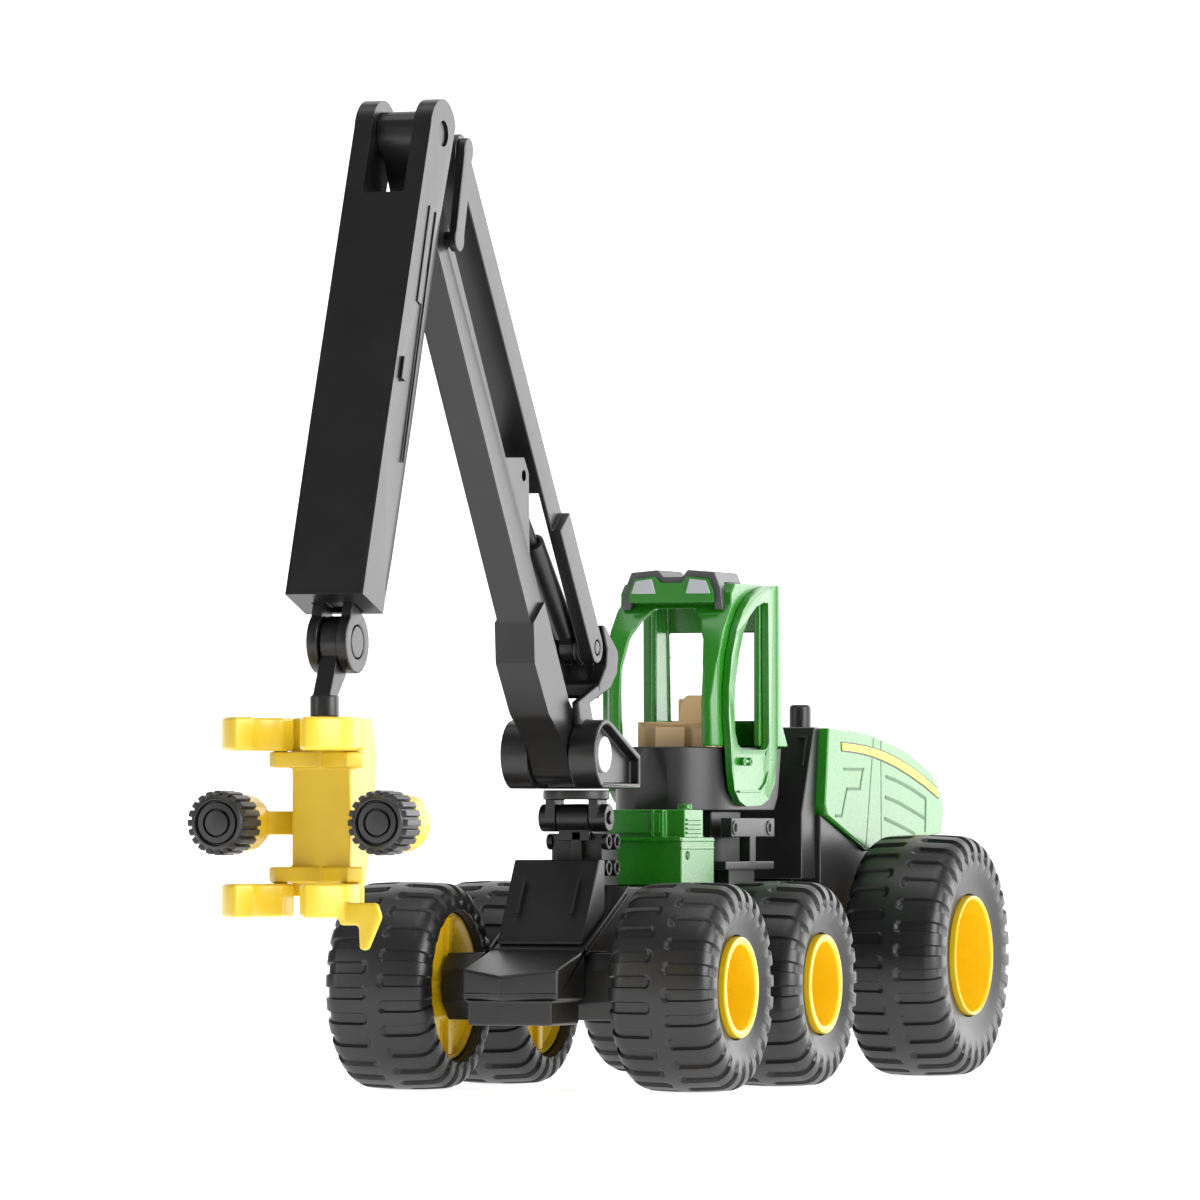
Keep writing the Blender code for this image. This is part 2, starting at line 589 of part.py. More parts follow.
def front_box(green, root):
    """Two-storey box with a slatted block and a cap on each shoulder."""
    w = BOX_HALF_W
    floor = FRAME_TOP + GAP
    lower = box(BOX_REAR_X, BOX_FRONT_X, -w, w, floor, BOX_STEP_Z)
    upper = box(BOX_REAR_X + BOX_STEP_BACK, BOX_FRONT_X - BOX_STEP_BACK,
                -w + BOX_STEP_IN, w - BOX_STEP_IN, BOX_STEP_Z - MM, BOX_TOP_Z)
    shoulders = []
    for _, sign in SIDES:
        y0, y1 = sorted((sign * (w - BOX_STEP_IN - MM), sign * (w - BOX_STEP_IN + GRILLE_W)))
        shoulders.append(box(GRILLE_X - GRILLE_HALF_L, GRILLE_X + GRILLE_HALF_L, y0, y1,
                             BOX_STEP_Z - MM, BOX_TOP_Z))
        cap_y = sign * (w - BOX_STEP_IN + GRILLE_W / 2)
        shoulders.append(disc((GRILLE_X, cap_y), GRILLE_CAP_R, BOX_TOP_Z - MM,
                              BOX_TOP_Z + GRILLE_CAP_H, "Z", 12))
    add("front_box", joined(lower, upper, *shoulders), green, root)


def side_steps(black, root):
    """Platform, post and grab rail below each side of the cab."""
    inner = FRAME_HALF_W + GAP
    rail_y = STEP_OUT_Y - RAIL_T
    for side, sign in SIDES:
        plate = box(STEP_REAR_X, STEP_FRONT_X, inner, STEP_OUT_Y, STEP_Z - STEP_T, STEP_Z)
        foot = box(STEP_REAR_X + FOOT_INSET, STEP_FRONT_X - FOOT_INSET, inner, inner + RAIL_T,
                   STEP_Z - FOOT_DROP, STEP_Z - MM)
        post = box(POST_X - POST_HALF_L, POST_X + POST_HALF_L, rail_y, STEP_OUT_Y,
                   STEP_Z - MM, RAIL_TOP_Z - MM)
        rail = box(RAIL_REAR_X, RAIL_FRONT_X, rail_y, STEP_OUT_Y, RAIL_TOP_Z - RAIL_H, RAIL_TOP_Z)
        mesh = joined(plate, foot, post, rail)
        add(f"{side}_step", mesh if sign > 0 else mirrored(mesh), black, root)


# ---- cab -------------------------------------------------------------------
def cab_plan(inset):
    """Plan of the tub: a rounded nose on a straight tail."""
    half_w = CAB_HALF_W - DOOR_T - GAP - inset
    nose = [(x * (CAB_NOSE - inset) + NOSE_CENTRE_X, y * half_w)
            for x, y in arc((0, 0), 1, -90, 90, 12)]
    return nose + [(CAB_REAR_X - MM, half_w), (CAB_REAR_X - MM, -half_w)]


def cab_tub(black, root):
    top = CAB_SILL_Z
    side = scaled(TUB_SIDE) + [(CAB_REAR_X, top)]
    outer = combined(prism(side, -CAB_HALF_W, CAB_HALF_W),
                     [prism(cab_plan(0), CAB_FLOOR_Z - MM, top + MM, "Z")], "INTERSECT")
    room = combined(prism(scaled(TUB_ROOM), -CAB_HALF_W, CAB_HALF_W),
                    [prism(cab_plan(CAB_WALL), CAB_FLOOR_Z + CAB_WALL, top + 2 * MM, "Z")],
                    "INTERSECT")
    pedestal = box(PEDESTAL_REAR_X, PEDESTAL_FRONT_X, -PEDESTAL_HALF_W, PEDESTAL_HALF_W,
                   FRAME_TOP + GAP, CAB_FLOOR_Z + MM)
    add("cab_tub", joined(cut(outer, room), pedestal), black, root)


def cab_shell(green, root):
    """Roof, pillars and back wall in one moulding, open at the front, sides and back."""
    half_w = CAB_HALF_W - DOOR_T - GAP
    low = CAB_SILL_Z + GAP
    outer = prism(scaled(SHELL_SIDE), -half_w, half_w)
    rear_posts = prism(scaled(SHELL_REAR_POST), -CAB_HALF_W, CAB_HALF_W)
    room = prism(scaled(SHELL_ROOM), -half_w + CAB_WALL, half_w - CAB_WALL)
    corners = [prism([(FRONT_CORNER_X[0], sign * FRONT_CORNER_Y[0]),
                      (FRONT_CORNER_X[1], sign * FRONT_CORNER_Y[1]),
                      (FRONT_CORNER_X[0] + 2 * MM, sign * FRONT_CORNER_Y[1])],
                     low - MM, CAB_ROOF_Z, "Z") for sign in (1, -1)]
    windscreen = prism(scaled(WINDSCREEN), WINDSCREEN_REAR_X, FRONT_CORNER_X[0] + 2 * MM, "X")
    sides = prism(scaled(SIDE_WINDOW), -2 * CAB_HALF_W, 2 * CAB_HALF_W)
    rear_window = box(CAB_REAR_X - MM, REAR_WINDOW_FRONT_X, -REAR_WINDOW_HALF_W,
                      REAR_WINDOW_HALF_W, REAR_WINDOW_LOW, REAR_WINDOW_HIGH)
    shell = cut(joined(outer, rear_posts), room, windscreen, sides, rear_window, *corners)
    add("cab_shell", shell, green, root)


def doors(green, hinges):
    for side, sign in SIDES:
        y0 = CAB_HALF_W - DOOR_T
        frame = prism(scaled(DOOR_SIDE), y0, CAB_HALF_W)
        opening = prism(scaled(DOOR_WINDOW), y0 - MM, CAB_HALF_W + MM)
        mesh = cut(frame, opening)
        add(f"{side}_door", mesh if sign > 0 else mirrored(mesh), green, hinges[side])


def visor(grey, root):
    """Lamp visor round the front of the roof."""
    face = prism(scaled(VISOR_FACE), VISOR_REAR_X, VISOR_FRONT_X, "X")
    roof = prism(scaled(VISOR_SEAT), -2 * CAB_HALF_W, 2 * CAB_HALF_W)
    add("visor", cut(face, roof), grey, root)


def cab_interior(beige, root):
    """Floor, seat and console in one moulding."""
    floor = CAB_FLOOR_Z + CAB_WALL + GAP
    base = box(SEAT_REAR_X, CONSOLE_FRONT_X, -SEAT_HALF_W, SEAT_HALF_W, floor, floor + 2 * MM)
    cushion = box(SEAT_REAR_X, SEAT_FRONT_X, -SEAT_HALF_W, SEAT_HALF_W, floor, CUSHION_TOP_Z)
    back = box(SEAT_REAR_X, SEAT_REAR_X + SEAT_BACK_T, -SEAT_HALF_W + 2 * MM,
               SEAT_HALF_W - 2 * MM, floor, SEAT_BACK_TOP_Z)
    console = box(CONSOLE_REAR_X, CONSOLE_FRONT_X, -CONSOLE_HALF_W, CONSOLE_HALF_W, floor,
                  CONSOLE_TOP_Z)
    add("cab_interior", joined(base, cushion, back, console), beige, root)


# ---- rear body, drawn from the rear axle --------------------------------------
def rear_frame(black, root, frame):
    pivot_x = WHEELBASE + PIVOT_X
    body = prism(scaled(REAR_DECK_SIDE), -REAR_FRAME_HALF_W, REAR_FRAME_HALF_W)
    beam = box(REAR_BEAM_REAR_X, REAR_BEAM_FRONT_X, -REAR_BEAM_HALF_W, REAR_BEAM_HALF_W,
               REAR_BEAM_BOTTOM, REAR_BEAM_TOP)
    low = FRAME_BOTTOM + PIVOT_LUG_T + GAP
    high = FRAME_TOP - PIVOT_LUG_T - GAP
    tongue = box(REAR_BEAM_FRONT_X - MM, pivot_x, -PIVOT_LUG_R, PIVOT_LUG_R, low, high)
    eye = disc((pivot_x, 0), PIVOT_LUG_R, low, high, "Z")
    pin = disc((pivot_x, 0), PIVOT_PIN_R, FRAME_BOTTOM + MM, FRAME_TOP - MM, "Z")
    saddle = axle_saddle(0, REAR_TYRE_R)
    mesh = joined(cut(joined(body, beam), saddle), tongue, eye, pin)
    add("rear_frame", mesh, black, root, frame)


def bulkhead(black, root, frame):
    outline = scaled(BULKHEAD_SIDE)
    add("rear_bulkhead", prism(outline, -BULKHEAD_HALF_W, BULKHEAD_HALF_W), black, root, frame)


def hood(green, root, frame):
    outer = prism(scaled(HOOD_SIDE), -HOOD_HALF_W, HOOD_HALF_W)
    room = prism(scaled(HOOD_ROOM), -HOOD_HALF_W + HOOD_WALL, HOOD_HALF_W - HOOD_WALL)
    add("hood", cut(outer, room), green, root, frame)


def engine(grey, root, frame):
    add("engine_block", prism(scaled(ENGINE_SIDE), -ENGINE_HALF_W, ENGINE_HALF_W), grey, root,
        frame)


def exhaust(black, root, frame):
    stack = disc((EXHAUST_X, 0), EXHAUST_R, EXHAUST_TOP_Z - EXHAUST_H, EXHAUST_TOP_Z, "Z", 16)
    add("exhaust_stack", cut(stack, prism(scaled(EXHAUST_SEAT), -HOOD_HALF_W, HOOD_HALF_W)),
        black, root, frame)


def tail_panel(grey, root, frame):
    add("tail_panel", prism(scaled(TAIL_SIDE), -TAIL_HALF_W, TAIL_HALF_W), grey, root, frame)


# ---- crane -----------------------------------------------------------------
def crane_pedestal(black, root):
    """Fixed column with the tilt pin at its top front."""
    foot = FRAME_TOP + GAP
    web = box(WEB_REAR_X, WEB_FRONT_X, -WEB_HALF_W, WEB_HALF_W, foot, WEB_TOP_Z)
    nose = box(WEB_FRONT_X - MM, SLEW_X, -WEB_HALF_W, WEB_HALF_W, foot, TILT_Z)
    ear = disc((SLEW_X, TILT_Z), TILT_BOSS_R, -WEB_HALF_W, WEB_HALF_W)
    side = box(PLATE_REAR_X, PLATE_FRONT_X, -PLATE_OUT_Y, PLATE_OUT_Y, foot, PLATE_TOP_Z)
    pin = disc((SLEW_X, TILT_Z), TILT_PIN_R, -FORK_BOSS_Y - MM, FORK_BOSS_Y + MM, steps=12)
    nose_cut = prism([(PLATE_FRONT_X, foot - MM), (PLATE_FRONT_X + 3 * MM, foot - MM),
                      (SLEW_X + 2 * MM, TILT_Z - TILT_BOSS_R), (PLATE_FRONT_X, PLATE_TOP_Z)],
                     -2 * PLATE_OUT_Y, 2 * PLATE_OUT_Y)
    body = cut(joined(web, nose, side), nose_cut)
    ground = prism([(FRAME_SLOPE_X, FRAME_TOP + GAP), (FRAME_NOSE_X, FRAME_NOSE_Z + GAP),
                    (FRAME_SLOPE_X, FRAME_NOSE_Z)], -2 * PLATE_OUT_Y, 2 * PLATE_OUT_Y)
    add("crane_pedestal", joined(cut(body, ground), ear, pin), black, root)


def tilt_fork(black, joint):
    """Two arms hanging from the turntable to the tilt pin."""
    arms = []
    for _, sign in SIDES:
        inner, outer = sorted((sign * FORK_IN_Y, sign * FORK_OUT_Y))
        arms.append(prism(arc((SLEW_X, TILT_Z), TILT_BOSS_R, 180, 360, 10)
                          + [(SLEW_X + TILT_BOSS_R, SLEW_Z - MM), (SLEW_X - TILT_BOSS_R, SLEW_Z - MM)],
                          inner, outer))
        inner, outer = sorted((sign * (FORK_OUT_Y - MM), sign * FORK_BOSS_Y))
        arms.append(disc((SLEW_X, TILT_Z), TILT_BOSS_R, inner, outer))
    table = disc((SLEW_X, 0), TURNTABLE_R, SLEW_Z - TURNTABLE_T, SLEW_Z - GAP, "Z", 24)
    bore = disc((SLEW_X, TILT_Z), TILT_PIN_R + GAP, -2 * FORK_BOSS_Y, 2 * FORK_BOSS_Y, steps=12)
    add("crane_tilt_fork", cut(joined(table, *arms), bore), black, joint)


def cheek_outline(inset):
    """Round at the boom's pin, running back to a square heel."""
    r = CHEEK_R - inset
    low = SLEW_Z + GAP + inset
    rear = CHEEK_REAR_X + inset
    start = -math.degrees(math.asin((P1_Z - low) / r))
    return (arc((P1_X, P1_Z), r, start, CHEEK_TANGENT_DEG, 14)
            + [(rear, P1_Z - inset), (rear, low)])


def crane_head(black, joint):
    body = prism(cheek_outline(0), -CHEEK_OUT_Y, CHEEK_OUT_Y)
    slot = box(CHEEK_REAR_X + CHEEK_WALL, P1_X + 2 * CHEEK_R, -CHEEK_IN_Y, CHEEK_IN_Y,
               BASE_PLATE_TOP_Z, P1_Z + 2 * CHEEK_R)
    mouth = box(BASE_PLATE_FRONT_X, P1_X + 2 * CHEEK_R, -CHEEK_IN_Y, CHEEK_IN_Y,
                SLEW_Z - MM, BASE_PLATE_TOP_Z + MM)
    pockets = []
    for _, sign in SIDES:
        inner, outer = sorted((sign * (CHEEK_OUT_Y - CHEEK_POCKET), sign * (CHEEK_OUT_Y + MM)))
        pockets.append(prism(cheek_outline(CHEEK_RIM), inner, outer))
    bore = disc((P1_X, P1_Z), PIN_R + GAP, -2 * CHEEK_OUT_Y, 2 * CHEEK_OUT_Y, steps=16)
    mesh = cut(joined(cut(body, slot, mouth, *pockets), *bracket_pieces()), bore)
    add("crane_head", mesh, black, joint)


def bracket_pieces():
    """Curved horn behind the boom's foot, with the parallel bar's pin in two webs."""
    pieces = [prism(scaled(HORN_REAR), -BRACKET_OUT_Y, BRACKET_OUT_Y)]
    for _, sign in SIDES:
        inner, outer = sorted((sign * CHEEK_IN_Y, sign * BRACKET_OUT_Y))
        pieces.append(prism(scaled(HORN_FRONT), inner, outer))
        inner, outer = sorted((sign * BRACKET_SLOT_Y, sign * BRACKET_WEB_Y))
        pieces.append(disc((P2_X, P2_Z), BRACKET_EYE_R, inner, outer, steps=14))
        pieces.append(prism([(P2_X - HORN_WEB_L, P2_Z - BRACKET_EYE_R), (P2_X, P2_Z - BRACKET_EYE_R),
                             (P2_X, P2_Z + BRACKET_EYE_R), (P2_X - HORN_WEB_L, P2_Z + 3 * MM)],
                            inner, outer))
    pieces.append(disc((P2_X, P2_Z), LINK_PIN_R, -BRACKET_OUT_Y, BRACKET_OUT_Y, steps=12))
    return pieces


def boom_pin(silver, joint):
    """Pin with a wide flat head at each end."""
    inner = CHEEK_OUT_Y - CHEEK_POCKET + GAP
    shaft = disc((P1_X, P1_Z), PIN_R, -inner - MM, inner + MM, steps=16)
    heads = [disc((P1_X, P1_Z), PIN_HEAD_R, *sorted((sign * inner, sign * (inner + PIN_HEAD_T))))
             for _, sign in SIDES]
    add("boom_pin", joined(shaft, *heads), silver, joint)


def boom(black, joint, frame):
    """Drawn along the line between its pins; +Z is behind the boom."""
    foot_end = BOOM_FOOT_SIDE[-1][0] * MM
    foot = prism(arc((0, 0), BOOM_FOOT_R, 40, 262, 12) + scaled(BOOM_FOOT_SIDE)
                 + [(foot_end, BOOM_BACK), (2 * BOOM_FOOT_R, BOOM_BACK)],
                 -BOOM_FOOT_HALF_W, BOOM_FOOT_HALF_W)
    end_u = BOOM_LENGTH - BOOM_TAPER
    shaft = prism([(foot_end - MM, -BOOM_FRONT), (end_u, -BOOM_FRONT)]
                  + arc((BOOM_LENGTH, 0), BOOM_HUB_R, -70, 90, 10)
                  + [(end_u, BOOM_BACK), (foot_end - MM, BOOM_BACK)], -BOOM_HALF_W, BOOM_HALF_W)
    hub = disc((BOOM_LENGTH, 0), BOOM_HUB_R, -BOOM_HUB_HALF_W, BOOM_HUB_HALF_W)
    lug = prism(scaled(LUG_SIDE), -BOOM_HALF_W, BOOM_HALF_W)
    slot = box(scaled(LUG_SIDE)[0][0] - MM, scaled(LUG_SIDE)[-1][0] + MM, -LUG_IN_Y, LUG_IN_Y,
               BOOM_BACK, 3 * LUG_V)
    bores = [disc((0, 0), PIN_R + GAP, -2 * BOOM_HALF_W, 2 * BOOM_HALF_W, steps=16),
             disc((LUG_U, LUG_V), LUG_HOLE_R, -2 * BOOM_HALF_W, 2 * BOOM_HALF_W, steps=12),
             disc((LINK_U, 0), LINK_PIN_R + GAP, -2 * BOOM_HALF_W, 2 * BOOM_HALF_W, steps=12),
             disc((BOOM_LENGTH, 0), STICK_PIN_R + GAP, -2 * BOOM_HALF_W, 2 * BOOM_HALF_W)]
    add("main_boom", cut(joined(foot, shaft, hub, cut(lug, slot)), *bores), black, joint, frame)


def parallel_bar(black, joint, frame):
    d = BAR_HALF_D
    fork = prism(arc((0, 0), BAR_EYE_R, 90, 270, 8) + [(BAR_THICK_LENGTH, -d), (BAR_THICK_LENGTH, d)],
                 -BAR_FORK_OUT_Y, BAR_FORK_OUT_Y)
    shaft = prism([(BAR_THICK_LENGTH - MM, -d), (BAR_LENGTH, -d)]
                  + arc((BAR_LENGTH, 0), d, -80, 80, 8)
                  + [(BAR_LENGTH, d), (BAR_THICK_LENGTH - MM, d)], -BAR_HALF_W, BAR_HALF_W)
    slot = box(-2 * BAR_EYE_R, BAR_FORK_LENGTH, -BAR_FORK_IN_Y, BAR_FORK_IN_Y, -2 * d, 2 * d)
    bore = disc((0, 0), LINK_PIN_R + GAP, -2 * BAR_FORK_OUT_Y, 2 * BAR_FORK_OUT_Y, steps=12)
    add("parallel_bar", cut(joined(fork, shaft), slot, bore), black, joint, frame)


def boom_link(black, joint, frame):
    """Two side plates on one pin, from the boom to the head of the parallel bar."""
    pin_y = LINK_OUT_Y - MM
    pieces = [disc((0, 0), LINK_PIN_R, -pin_y, pin_y, steps=12)]
    for _, sign in SIDES:
        inner, outer = sorted((sign * LINK_IN_Y, sign * LINK_OUT_Y))
        outline = (arc((0, 0), LINK_EYE_R, 60, 300, 10)
                   + arc((LINK_LENGTH, 0), LINK_EYE_R, -120, 120, 10))
        pieces.append(prism(outline, inner, outer))
    add("boom_link", joined(*pieces), black, joint, frame)


def lift_cylinder(black, silver, joint, frame):
    """Tube on the bracket's pin; the rod's eye ends between the boom's lugs."""
    eye_y = BRACKET_SLOT_Y - GAP
    eye = disc((0, 0), ROD_EYE_R, -eye_y, eye_y, steps=14)
    neck = box(0, TUBE_START + 2 * MM, -eye_y, eye_y, -ROD_R, ROD_R)
    barrel = rod((TUBE_START, 0, 0), (TUBE_LENGTH, 0, 0), TUBE_R)
    bore = rod((TUBE_START + 3 * MM, 0, 0), (TUBE_LENGTH + MM, 0, 0), ROD_R + GAP)
    pin = disc((0, 0), LINK_PIN_R + GAP, -BRACKET_OUT_Y, BRACKET_OUT_Y, steps=12)
    add("lift_cylinder", cut(joined(barrel, eye, neck), bore, pin), black, joint, frame)
    shaft = rod((TUBE_LENGTH - ROD_ENGAGE, 0, 0), (LIFT_LENGTH, 0, 0), ROD_R)
    end = disc((LIFT_LENGTH, 0), ROD_EYE_R, -ROD_EYE_Y, ROD_EYE_Y, steps=14)
    add("lift_rod", joined(shaft, end), silver, joint, frame)


def stick(black, silver, joint, frame):
    """Outer arm, drawn down the line between its pins; +Z is its front."""
    y = STICK_HALF_W
    body = prism(arc((0, 0), STICK_EAR_R, 80, 235, 12) + scaled(STICK_BACK)
                 + [(STICK_END, scaled(STICK_BACK)[-1][1]), (STICK_END, STICK_FRONT_END)]
                 + scaled(STICK_FRONT), -y, y)
    notch = box(-2 * STICK_EAR_R, STICK_NOTCH, -y + STICK_EAR_T, y - STICK_EAR_T,
                -3 * STICK_EAR_R, 3 * STICK_EAR_R)
    bore = box(BORE_TOP, STICK_END + MM, -BORE_HALF_Y, BORE_HALF_Y, -BORE_BACK, BORE_FRONT)
    hole = disc((0, 0), STICK_PIN_R + GAP, -2 * y, 2 * y)
    add("stick", cut(body, notch, bore, hole), black, joint, frame)
    add("stick_pin", disc((0, 0), STICK_PIN_R, -y + MM, y - MM), silver, joint, frame)


def stick_extension(black, joint, frame):
    y = TONGUE_HALF_Y
    tongue = prism([(TONGUE_TOP, -BORE_BACK + GAP), (STICK_LENGTH, -BORE_BACK + GAP),
                    (STICK_LENGTH, BORE_FRONT - GAP), (TONGUE_TOP, BORE_FRONT - GAP)], -y, y)
    tip = disc((STICK_LENGTH, 0), TIP_EYE_R, -y, y, steps=24)
    hole = disc((STICK_LENGTH, 0), TIP_HOLE_R, -2 * y, 2 * y, steps=20)
    slot = box(STICK_LENGTH - TIP_EYE_R - 2 * MM, STICK_LENGTH + 2 * TIP_EYE_R, -TIP_SLOT_Y,
               TIP_SLOT_Y, -2 * TIP_EYE_R, 2 * TIP_EYE_R)
    add("stick_extension", cut(joined(tongue, tip), hole, slot), black, joint, frame)


# ---- harvester head ----------------------------------------------------------
def hanger(black, joint, tip):
    """Swinging eye in the stick's tip that carries the rotator."""
    x, z = tip
    y = HANGER_HALF_Y
    rotator_top = ROTATOR_Z + ROTATOR_H
    eye = disc((x, z), HANGER_EYE_R, -y, y)
    pin = disc((x, z), TIP_HOLE_R - GAP, -TONGUE_HALF_Y, TONGUE_HALF_Y)
    neck = prism([(x - HANGER_EYE_R * 0.6, z - HANGER_EYE_R * 0.7),
                  (ROTATOR_X - 4 * MM, rotator_top - MM), (ROTATOR_X + 4 * MM, rotator_top - MM),
                  (x + HANGER_EYE_R * 0.8, z - HANGER_EYE_R * 0.4)], -y, y)
    hub = disc((ROTATOR_X, 0), ROTATOR_R, ROTATOR_Z, rotator_top, "Z", 16)
    add("hanger", joined(eye, pin, neck, hub), black, joint)


def head_frame(black, joint):
    body = prism(scaled(HEAD_SIDE), -HEAD_HALF_W, HEAD_HALF_W)
    pieces = []
    for z in (UPPER_CLAW_Z - CLAW_T / 2 - GAP - CLAW_LUG_T, LOWER_CLAW_Z + CLAW_T / 2 + GAP):
        for _, sign in SIDES:
            y = sign * CLAW_PIVOT_Y
            pieces.append(prism([(HEAD_FRONT_X - 6 * MM, 0), (HEAD_FRONT_X, 0),
                                 (CLAW_PIVOT_X + CLAW_HUB_R, y), (CLAW_PIVOT_X, y + sign * CLAW_HUB_R),
                                 (HEAD_FRONT_X - 6 * MM, sign * HEAD_HALF_W)][::int(sign)],
                                z, z + CLAW_LUG_T, "Z"))
    for z0, z1 in ((UPPER_CLAW_Z - CLAW_T / 2 - CLAW_LUG_T, UPPER_CLAW_Z + CLAW_T / 2 - 2 * MM),
                   (LOWER_CLAW_Z - CLAW_T / 2 + 2 * MM, LOWER_CLAW_Z + CLAW_T / 2 + CLAW_LUG_T)):
        for _, sign in SIDES:
            pieces.append(disc((CLAW_PIVOT_X, sign * CLAW_PIVOT_Y), CLAW_PIN_R, z0, z1, "Z", 12))
    add("head_frame", joined(body, *pieces), black, joint)


def claw_mesh(z, with_guard=False):
    """Left claw: a tapering arc round the stem, on its pivot."""
    low, high = z - CLAW_T / 2, z + CLAW_T / 2
    steps = 14
    outer = arc((GRIP_X, 0), CLAW_OUT_R, CLAW_TIP_DEG, CLAW_ROOT_DEG, steps)
    inner = arc((GRIP_X, 0), CLAW_IN_R, CLAW_TIP_DEG, CLAW_ROOT_DEG, steps)
    hub = arc((CLAW_PIVOT_X, CLAW_PIVOT_Y), CLAW_HUB_R, 60, 300, 10)
    blade = prism(outer[:-2] + hub + inner[::-1], low, high, "Z")
    bore = disc((CLAW_PIVOT_X, CLAW_PIVOT_Y), CLAW_PIN_R + GAP, low - MM, high + MM, "Z", 12)
    if with_guard:
        guard = prism(scaled(GUARD_FACE), GUARD_X - GUARD_T / 2, GUARD_X + GUARD_T / 2, "X")
        blade = joined(blade, guard)
    return cut(blade, bore)


def claws(yellow, joints):
    for level, z in (("upper", UPPER_CLAW_Z), ("lower", LOWER_CLAW_Z)):
        for side, sign in SIDES:
            mesh = claw_mesh(z, with_guard=(level == "lower" and side == "left"))
            add(f"{level}_{side}_claw", mesh if sign > 0 else mirrored(mesh), yellow, joints[side])


def roller_arms(black, grey, arm_joints, roller_joints):
    for side, sign in SIDES:
        hub = disc((ARM_HUB_X, ARM_HUB_Y), ARM_HUB_R, ROLLER_Z - ARM_T / 2, ROLLER_Z + ARM_T / 2,
                   "Z", 16)
        motor_x = ROLLER_FRONT_X - ROLLER_LENGTH - ROLLER_GAP
        arm = prism([(ARM_HUB_X - 2 * MM, ARM_HUB_Y + ARM_HUB_R * 0.85),
                     (ARM_HUB_X + 2 * MM, ARM_HUB_Y - ARM_HUB_R * 0.85),
                     (motor_x - 2 * MM, ROLLER_Y - 4 * MM), (motor_x - 2 * MM, ROLLER_Y + 5 * MM)],
                    ROLLER_Z - ARM_T / 2, ROLLER_Z + ARM_T / 2, "Z")
        cap = along_x(MOTOR_R, motor_x - MOTOR_LENGTH, motor_x)
        stub = along_x(ROLLER_STUB_R, motor_x - MM, motor_x + ROLLER_LENGTH / 2)
        arm_mesh = joined(hub, arm, cap, stub)
        drum = along_x(ROLLER_R, motor_x + ROLLER_GAP, ROLLER_FRONT_X)
        bore = along_x(ROLLER_STUB_R + GAP, motor_x, motor_x + ROLLER_LENGTH / 2 + GAP)
        roller = cut(drum, bore)
        if sign < 0:
            arm_mesh, roller = mirrored(arm_mesh), mirrored(roller)
        add(f"{side}_roller_arm", arm_mesh, black, arm_joints[side])
        add(f"{side}_feed_roller", roller, grey, roller_joints[side])


def along_x(radius, x0, x1):
    """A round bar along X at the feed roller's height."""
    outline = arc((ROLLER_Y, ROLLER_Z), radius, 0, 360, 24)[:-1]
    return prism(outline, x0, x1, "X")


# ---- the machine -----------------------------------------------------------
def crane(black, silver, yellow, grey, root):
    tilt = pivot("tilt_joint", root, at(SLEW_X, 0, TILT_Z))
    tilt_fork(black, tilt)
    slew = pivot("slew_joint", tilt, at(SLEW_X, 0, SLEW_Z))
    crane_head(black, slew)
    boom_pin(silver, slew)

    boom_frame = at(P1_X, 0, P1_Z, BOOM_ANGLE)
    boom_joint = pivot("boom_joint", slew, boom_frame)
    boom(black, boom_joint, boom_frame)
    head_pin = boom_frame @ Vector((LINK_U, 0, 0))
    link_frame = at(head_pin.x, 0, head_pin.z, LINK_ANGLE)
    boom_link(black, pivot("link_joint", boom_joint, link_frame), link_frame)
    bar_frame = at(P2_X, 0, P2_Z, BAR_ANGLE)
    parallel_bar(black, pivot("bar_joint", slew, bar_frame), bar_frame)
    lift_frame = at(P2_X, 0, P2_Z, LIFT_ANGLE)
    lift_cylinder(black, silver, pivot("lift_joint", slew, lift_frame), lift_frame)

    elbow = boom_frame @ Vector((BOOM_LENGTH, 0, 0))
    stick_frame = at(elbow.x, 0, elbow.z, STICK_LEAN - math.pi / 2)
    stick_joint = pivot("stick_joint", boom_joint, stick_frame)
    stick(black, silver, stick_joint, stick_frame)
    slide = pivot("extension_slide", stick_joint, stick_frame)
    stick_extension(black, slide, stick_frame)
    tip = stick_frame @ Vector((STICK_LENGTH, 0, 0))
    swing = pivot("hanger_joint", slide, at(tip.x, 0, tip.z))
    hanger(black, swing, (tip.x, tip.z))
    harvester_head(black, yellow, grey, swing)


def harvester_head(black, yellow, grey, swing):
    turn = pivot("rotator_joint", swing, at(ROTATOR_X, 0, ROTATOR_Z))
    head_frame(black, turn)
    claw_joints, arm_joints, roller_joints = {}, {}, {}
    for side, sign in SIDES:
        claw_joints[side] = pivot(f"{side}_claw_joint", turn,
                                  at(CLAW_PIVOT_X, sign * CLAW_PIVOT_Y, ROLLER_Z))
        arm_joints[side] = pivot(f"{side}_arm_joint", turn,
                                 at(ARM_HUB_X, sign * ARM_HUB_Y, ROLLER_Z))
        roller_joints[side] = pivot(f"{side}_roller_joint", arm_joints[side],
                                    at(ROLLER_FRONT_X, sign * ROLLER_Y, ROLLER_Z))
    claws(yellow, claw_joints)
    roller_arms(black, grey, arm_joints, roller_joints)


